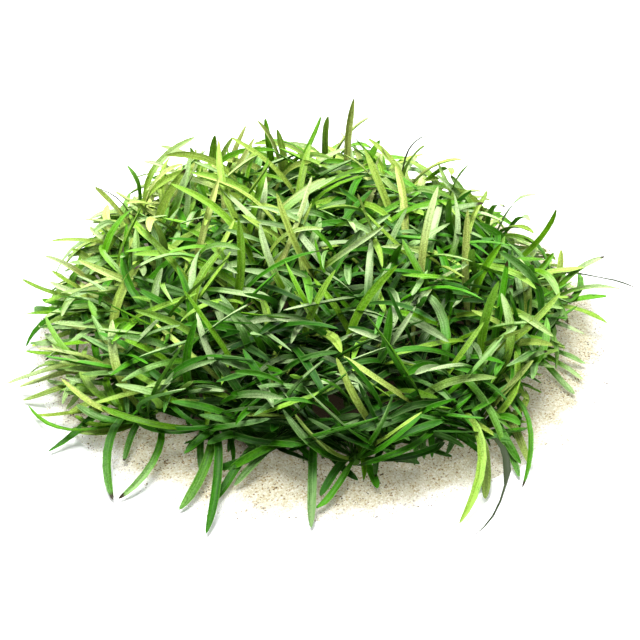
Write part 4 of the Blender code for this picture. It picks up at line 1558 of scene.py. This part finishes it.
@dataclass(frozen=True)
class LeafTones:
    """How light, old and pale each leaf is, by its place on the mat and by chance. Light and shade by place
    are painted, and the paleness is a painted sheen.

    A pair that names a place is a start and a width. Places are measured from the mat's middle.
    """

    front: Span = (0.05, 0.05)
    facing: Span = (0.01, 0.05)
    back: Span = (0.0, 0.09)
    beside: Span = (0.045, 0.06)
    rim: Span = (0.56, 0.30)
    front_rim: float = 0.85
    middle_height: float = 0.042
    # From here to darker_facing: painted light and shade on the tint: lighter when high, at the rim, behind
    # and beside, darker on the front-facing slope.
    lighter_up: float = 15.0
    lighter_rim: float = 0.19
    lighter_front_rim: float = 0.04
    lighter_back: float = 0.26
    lighter_beside: float = 0.20
    darker_facing: float = 0.28
    tint: Span = (0.34, 0.15)
    tint_ends: Span = (0.06, 0.96)
    bright_often: float = 0.12
    bright_rarer: float = 0.06
    bright_tint: Span = (0.70, 0.90)
    bright_grey: float = 0.3
    # From here to seen_front_rim: which leaves get a painted sheen, how pale it is, and how it grows with
    # height and towards the rim.
    level_angle: float = math.radians(48)
    sheen_often: float = 0.62
    sheened: Span = (0.55, 1.0)
    unsheened: Span = (0.0, 0.3)
    seen_up: Span = (0.012, 0.036)
    least_seen: float = 0.12
    seen_rim: float = 0.95
    seen_front_rim: float = 0.55
    thin: float = 0.5
    thin_age: float = 2.0
    inner: float = 0.3
    inner_chance: float = 0.8

    def of(self, mat: Mat, leaves: Sequence[Leaf], draw: np.random.Generator) -> dict[str, np.ndarray]:
        """The numbers of each leaf that the leaf finish reads.

        Args:
            mat: the mat that they are part of.
            leaves: the leaves.
            draw: the source of chance.

        Returns:
            By map, an array of leaf by number: tint and age, greyness and a number by chance. The tint
                carries painted light and shade, and the greyness a painted sheen.
        """
        count = len(leaves)
        tips = np.array([tuple(leaf.tip) for leaf in leaves])
        across, ahead, height = tips[:, 0], -tips[:, 1], tips[:, 2]
        share = np.hypot(across / mat.reach_x, ahead / mat.reach_y)
        front, back = grade(ahead, *self.front), grade(-ahead, *self.back)
        rim, beside = grade(share, *self.rim), grade(np.abs(across), *self.beside)
        outer = rim * (1 - self.front_rim * front)
        facing = grade(ahead, *self.facing) * (1 - rim)
        # painted light and shade, added to each leaf's tint
        painted_light_and_shade = (height - self.middle_height) * self.lighter_up * (1 - rim) + outer * self.lighter_rim
        painted_light_and_shade = painted_light_and_shade + rim * front * self.lighter_front_rim + back * self.lighter_back
        painted_light_and_shade += beside * self.lighter_beside - facing * (1 - beside) * self.darker_facing
        tint = np.clip(draw.normal(*self.tint, count) + painted_light_and_shade, *self.tint_ends)
        bright = draw.uniform(0, 1, count) < self.bright_often - self.bright_rarer * rim
        tint = np.where(bright, draw.uniform(*self.bright_tint, count), tint)
        # painted sheen: level leaves are often given a high greyness, scaled up for high and outer leaves
        level = np.array([leaf.tip_angle for leaf in leaves]) > self.level_angle
        sheened = level & (draw.uniform(0, 1, count) < self.sheen_often)
        grey = np.where(sheened, draw.uniform(*self.sheened, count), draw.uniform(*self.unsheened, count))
        seen = np.maximum(grade(height, *self.seen_up), self.least_seen)
        seen = np.maximum(seen, np.maximum(outer * self.seen_rim, rim * front * self.seen_front_rim))
        grey = np.where(bright, grey * self.bright_grey, grey) * seen
        is_thin = np.array([leaf.width for leaf in leaves]) < self.thin * mat.form.blade_width
        age = np.where(is_thin, self.thin_age, draw.uniform(0, 1, count))
        chance = draw.uniform(0, 1, count) * np.where(rim < self.inner, self.inner_chance, 1.0)
        return {"growth": np.stack([tint, age], axis=1), "state": np.stack([grey, chance], axis=1)}


@dataclass
class Rosettes:
    """Every rosette: a rootstock, its main leaves where the solids have them, and the leaves that fill it."""

    mat: Mat
    sculptor: LeafSculptor
    fill: FillRules
    tones: LeafTones
    finish: LeafFinish
    stock_swell: float = 1.05
    stock_blade: Span = (0.25, 0.0)
    stock_tone: float = 0.4
    surface: Optional[bpy.types.Material] = None

    def build(self) -> None:
        """Builds and dresses each rosette."""
        self.surface = self.finish.material()
        self.sculptor.make_template()
        total = 0
        for owner in range(len(self.mat.places)):
            main = [leaf for _, leaf in self.mat.leaves[owner]]
            leaves = main + list(self.fill.leaves(self.mat, owner))
            total += len(leaves)
            piece = self.rosette(owner, leaves)
            LOG.info("%s: %d leaves, %d of them main", piece.name, len(leaves), len(main))
        LOG.info("rosettes: %d leaves in all", total)

    def rosette(self, owner: int, leaves: list[Leaf]) -> bpy.types.Object:
        """One rosette in one mesh.

        Args:
            owner: index of the rosette.
            leaves: its leaves.

        Returns:
            The piece, which stands for its solid.
        """
        draw = np.random.default_rng(Seed.BLADES.value + owner)
        template = self.sculptor.template
        bm = bmesh.new()
        for _ in leaves:
            bm.from_mesh(template)
        self.add_stock(bm, self.mat.places[owner])
        name = f"rosette_{owner + 1:02d}"
        mesh = bpy.data.meshes.new(f"{name}_looks")
        bm.to_mesh(mesh)
        bm.free()
        places = np.empty(len(mesh.vertices) * 3)
        mesh.vertices.foreach_get("co", places)
        leaf_places = self.sculptor.corner_places(leaves, draw).reshape(-1)
        places[: len(leaf_places)] = leaf_places
        mesh.vertices.foreach_set("co", places)
        self.add_maps(mesh, self.tones.of(self.mat, leaves, draw), len(leaves))
        mesh.update()
        piece = new_piece(f"{name}_looks", mesh, self.surface)
        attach(piece, "root")
        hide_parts(name)
        return piece

    def add_stock(self, bm: bmesh.types.BMesh, crown: Crown) -> None:
        """Adds the stubby rootstock that the leaves grow from.

        Args:
            bm: the rosette's mesh so far.
            crown: where the rosette stands.
        """
        form = self.mat.form
        radius = form.stock_radius * self.stock_swell
        made = bmesh.ops.create_icosphere(bm, subdivisions=2, radius=radius)["verts"]
        for vert in made:
            if vert.co.z < 0:
                vert.co.z *= form.stock_stretch
            vert.co += crown.place
        for face in {face for vert in made for face in vert.link_faces}:
            face.smooth = True

    def add_maps(self, mesh: bpy.types.Mesh, tones: dict[str, np.ndarray], count: int) -> None:
        """Adds the maps that the leaf finish reads: each leaf's own numbers and the place on its blade.

        Args:
            mesh: the rosette's mesh, leaves first.
            tones: by map, an array of leaf by number.
            count: how many leaves there are.
        """
        blade = np.tile(self.sculptor.blade_map(), (count, 1))
        each = len(blade) // count
        maps = {name: np.repeat(numbers, each, axis=0) for name, numbers in tones.items()}
        for name, numbers in {**maps, "blade": blade}.items():
            rest = self.stock_blade if name == "blade" else (self.stock_tone, self.stock_tone)
            values = np.tile(rest, (len(mesh.loops), 1))
            values[: len(blade)] = numbers
            mesh.uv_layers.new(name=name).data.foreach_set("uv", values.reshape(-1))


@dataclass
class SandPatch:
    """The sand: a thin-edged heap whose surface is dimpled, with loose grains on it and past its rim.

    Steps go round and rings go out. Thinning and smoothing at the edge are powers of the way out.
    """

    form: SandForm
    finish: SandFinish
    grain_finish: GrainFinish
    steps: int = 320
    rings: int = 62
    underside: Span = (0.998, 0.5)
    edge_height: float = 0.00008
    least_height: float = 0.000048
    edge_thinning: int = 5
    smooth_edge: int = 8
    dimple: float = 0.0007
    dimple_scale: float = 260.0
    dimple_level: float = 0.7
    ripple: float = 0.0010
    ripple_scale: float = 42.0
    ripple_level: float = 0.3
    just_inside: float = 0.9999
    weld: float = 1e-6
    upward: float = 0.3
    rim_grains: int = 1600
    top_grains: int = 1400
    rim_spread: Span = (-0.008, 0.016)
    top_spread: Span = (0.12, 0.96)
    furthest: float = 1.05
    grain_sizes: Span = (0.00018, 0.00042)
    grain_widths: Span = (0.8, 1.25)
    grain_heights: Span = (0.7, 1.0)
    sunk: float = 0.35
    on_floor: float = 1.05

    def build(self) -> None:
        """Builds and dresses the sand and its loose grains."""
        piece = new_piece("sand_bed_looks", self.heap(), self.finish.material())
        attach(piece, "root")
        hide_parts("sand_bed")
        grains = new_piece("loose_grains", self.grains(), self.grain_finish.material())
        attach(grains, "root")
        for made in (piece, grains):
            LOG.info("%s: %d faces", made.name, len(made.data.polygons))

    def top(self, x: float, y: float) -> float:
        """The height of the finished surface at a place.

        Args:
            x: the place to the right of the middle.
            y: the place behind the middle.

        Returns:
            The height, and 0 past the rim.
        """
        share = self.form.share(x, y)
        if share >= 1:
            return 0.0
        slope = self.form.height(x, y) - (self.form.lip - self.edge_height) * share**self.edge_thinning
        coarse = noise.noise(Vector((x, y, self.ripple_level)) * self.ripple_scale) * self.ripple
        fine = noise.noise(Vector((x, y, self.dimple_level)) * self.dimple_scale) * self.dimple
        return slope + (coarse + fine) * (1 - share**self.smooth_edge)

    def heap(self) -> bpy.types.Mesh:
        """The heap: a half section spun round, then dimpled."""
        bm = bmesh.new()
        places = [(index / self.rings, self.form.lip) for index in range(self.rings + 1)]
        places += [(share, 0.0) for share in (*self.underside, 0.0)]
        verts = [bm.verts.new((x, 0, z)) for x, z in places]
        edges = [bm.edges.new(pair) for pair in zip(verts, verts[1:])]
        bmesh.ops.spin(
            bm,
            geom=verts + edges,
            cent=(0, 0, 0),
            axis=(0, 0, 1),
            angle=math.tau,
            steps=self.steps,
            use_merge=True,
        )
        bmesh.ops.remove_doubles(bm, verts=bm.verts, dist=self.weld)
        bmesh.ops.recalc_face_normals(bm, faces=bm.faces)
        for vert in bm.verts:
            stretch = self.form.rim(math.atan2(vert.co.y, vert.co.x))
            vert.co.x *= stretch
            vert.co.y *= stretch
            if vert.co.z > 0:
                top = self.top(vert.co.x * self.just_inside, vert.co.y * self.just_inside)
                vert.co.z = max(self.least_height, top)
        for face in bm.faces:
            face.smooth = face.normal.z > self.upward
        for edge in bm.edges:
            edge.smooth = all(face.smooth for face in edge.link_faces)
        mesh = bpy.data.meshes.new("sand_bed_looks")
        bm.to_mesh(mesh)
        bm.free()
        return mesh

    def grains(self) -> bpy.types.Mesh:
        """Loose grains in one mesh, each a small lump half sunk in the sand or lying on the floor."""
        draw = random.Random(Seed.GRAINS.value)
        lump = bmesh.new()
        bmesh.ops.create_icosphere(lump, subdivisions=1, radius=1.0)
        template = bpy.data.meshes.new("grain_template")
        lump.to_mesh(template)
        lump.free()
        corners = np.array([tuple(vert.co) for vert in template.vertices])
        count = self.rim_grains + self.top_grains
        bm = bmesh.new()
        for _ in range(count):
            bm.from_mesh(template)
        mesh = bpy.data.meshes.new("loose_grains")
        bm.to_mesh(mesh)
        bm.free()
        places = [self.grain_place(draw, corners, index < self.rim_grains) for index in range(count)]
        mesh.vertices.foreach_set("co", np.concatenate(places).reshape(-1))
        mesh.update()
        return mesh

    def grain_place(self, draw: random.Random, corners: np.ndarray, at_rim: bool) -> np.ndarray:
        """Where the corners of one grain go.

        Args:
            draw: the source of chance.
            corners: the corners of a grain of radius 1.
            at_rim: True for a grain near the rim, False for one anywhere on the sand.

        Returns:
            The corners, turned, stretched and put down.
        """
        angle = draw.uniform(0, math.tau)
        share = 1 + draw.gauss(*self.rim_spread) if at_rim else math.sqrt(draw.uniform(*self.top_spread))
        radius = self.form.rim(angle) * min(share, self.furthest)
        x, y = radius * math.cos(angle), radius * math.sin(angle)
        size = draw.uniform(*self.grain_sizes)
        base = self.top(x, y)
        height = base + size * self.sunk if base > size else size * self.on_floor
        stretch = [draw.uniform(*ends) for ends in (self.grain_widths, self.grain_widths, self.grain_heights)]
        turn = draw.uniform(0, math.tau)
        cosine, sine = math.cos(turn), math.sin(turn)
        spin = np.array([[cosine, sine, 0], [-sine, cosine, 0], [0, 0, 1]])
        return (corners * (np.array(stretch) * size)) @ spin + np.array([x, y, height])


@dataclass(frozen=True)
class Lamp:
    """One soft square lamp: where it hangs, its side and its power."""

    name: str
    place: tuple[float, float, float]
    side: float
    power: float


@dataclass
class Studio:
    """The pale floor and the soft light."""

    floor: FloorFinish
    floor_side: float = 12.0
    floor_drop: float = 0.00003
    sky: float = 0.20
    lamps: tuple[Lamp, ...] = (
        Lamp("key_lamp", (-0.18, 0.22, 1.35), 0.80, 36.0),
        Lamp("back_lamp", (0.30, 1.20, 0.9), 1.0, 20.0),
        Lamp("front_lamp", (-0.50, -1.20, 0.8), 0.8, 1.5),
    )

    def build(self) -> None:
        """Lays the floor, hangs the lamps and lights the surroundings."""
        bm = bmesh.new()
        bmesh.ops.create_grid(bm, x_segments=1, y_segments=1, size=self.floor_side / 2)
        mesh = bpy.data.meshes.new("studio_floor")
        bm.to_mesh(mesh)
        bm.free()
        floor = new_piece("studio_floor", mesh, self.floor.material())
        floor.location.z = -self.floor_drop
        floor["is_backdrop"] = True
        for lamp in self.lamps:
            self.hang(lamp)
        world = bpy.data.worlds.new("studio")
        world.use_nodes = True
        background = world.node_tree.nodes["Background"].inputs
        background["Color"].default_value = (1, 1, 1, 1)
        background["Strength"].default_value = self.sky
        bpy.context.scene.world = world
        bpy.context.scene.view_settings.view_transform = "Standard"

    def hang(self, lamp: Lamp) -> None:
        """Hangs one lamp, aimed at the mat."""
        data = bpy.data.lights.new(lamp.name, "AREA")
        data.shape = "SQUARE"
        data.size = lamp.side
        data.energy = lamp.power
        made = bpy.data.objects.new(lamp.name, data)
        bpy.context.scene.collection.objects.link(made)
        made.location = lamp.place
        made.rotation_euler = Vector(lamp.place).to_track_quat("Z", "Y").to_euler()


def main() -> None:
    """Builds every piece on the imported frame, then the studio."""
    logging.basicConfig(level=logging.INFO, format="%(name)s: %(message)s")
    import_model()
    solids_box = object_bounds()
    view = PictureView()
    sand = SandForm()
    form = LeafForm()
    mat = Mat(sand, form, view)
    mat.grow()
    LOG.info("mat: %d main leaves", sum(len(leaves) for leaves in mat.leaves))
    Rosettes(mat, LeafSculptor(form, sand), FillRules(), LeafTones(), LeafFinish()).build()
    SandPatch(sand, SandFinish((sand.radius_x, sand.radius_y)), GrainFinish()).build()
    Studio(FloorFinish()).build()
    view.set_camera()
    boxes = {"cad": solids_box, "looks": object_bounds()}
    plain = {name: [[float(value) for value in corner] for corner in box] for name, box in boxes.items()}


if __name__ == "__main__":
    main()
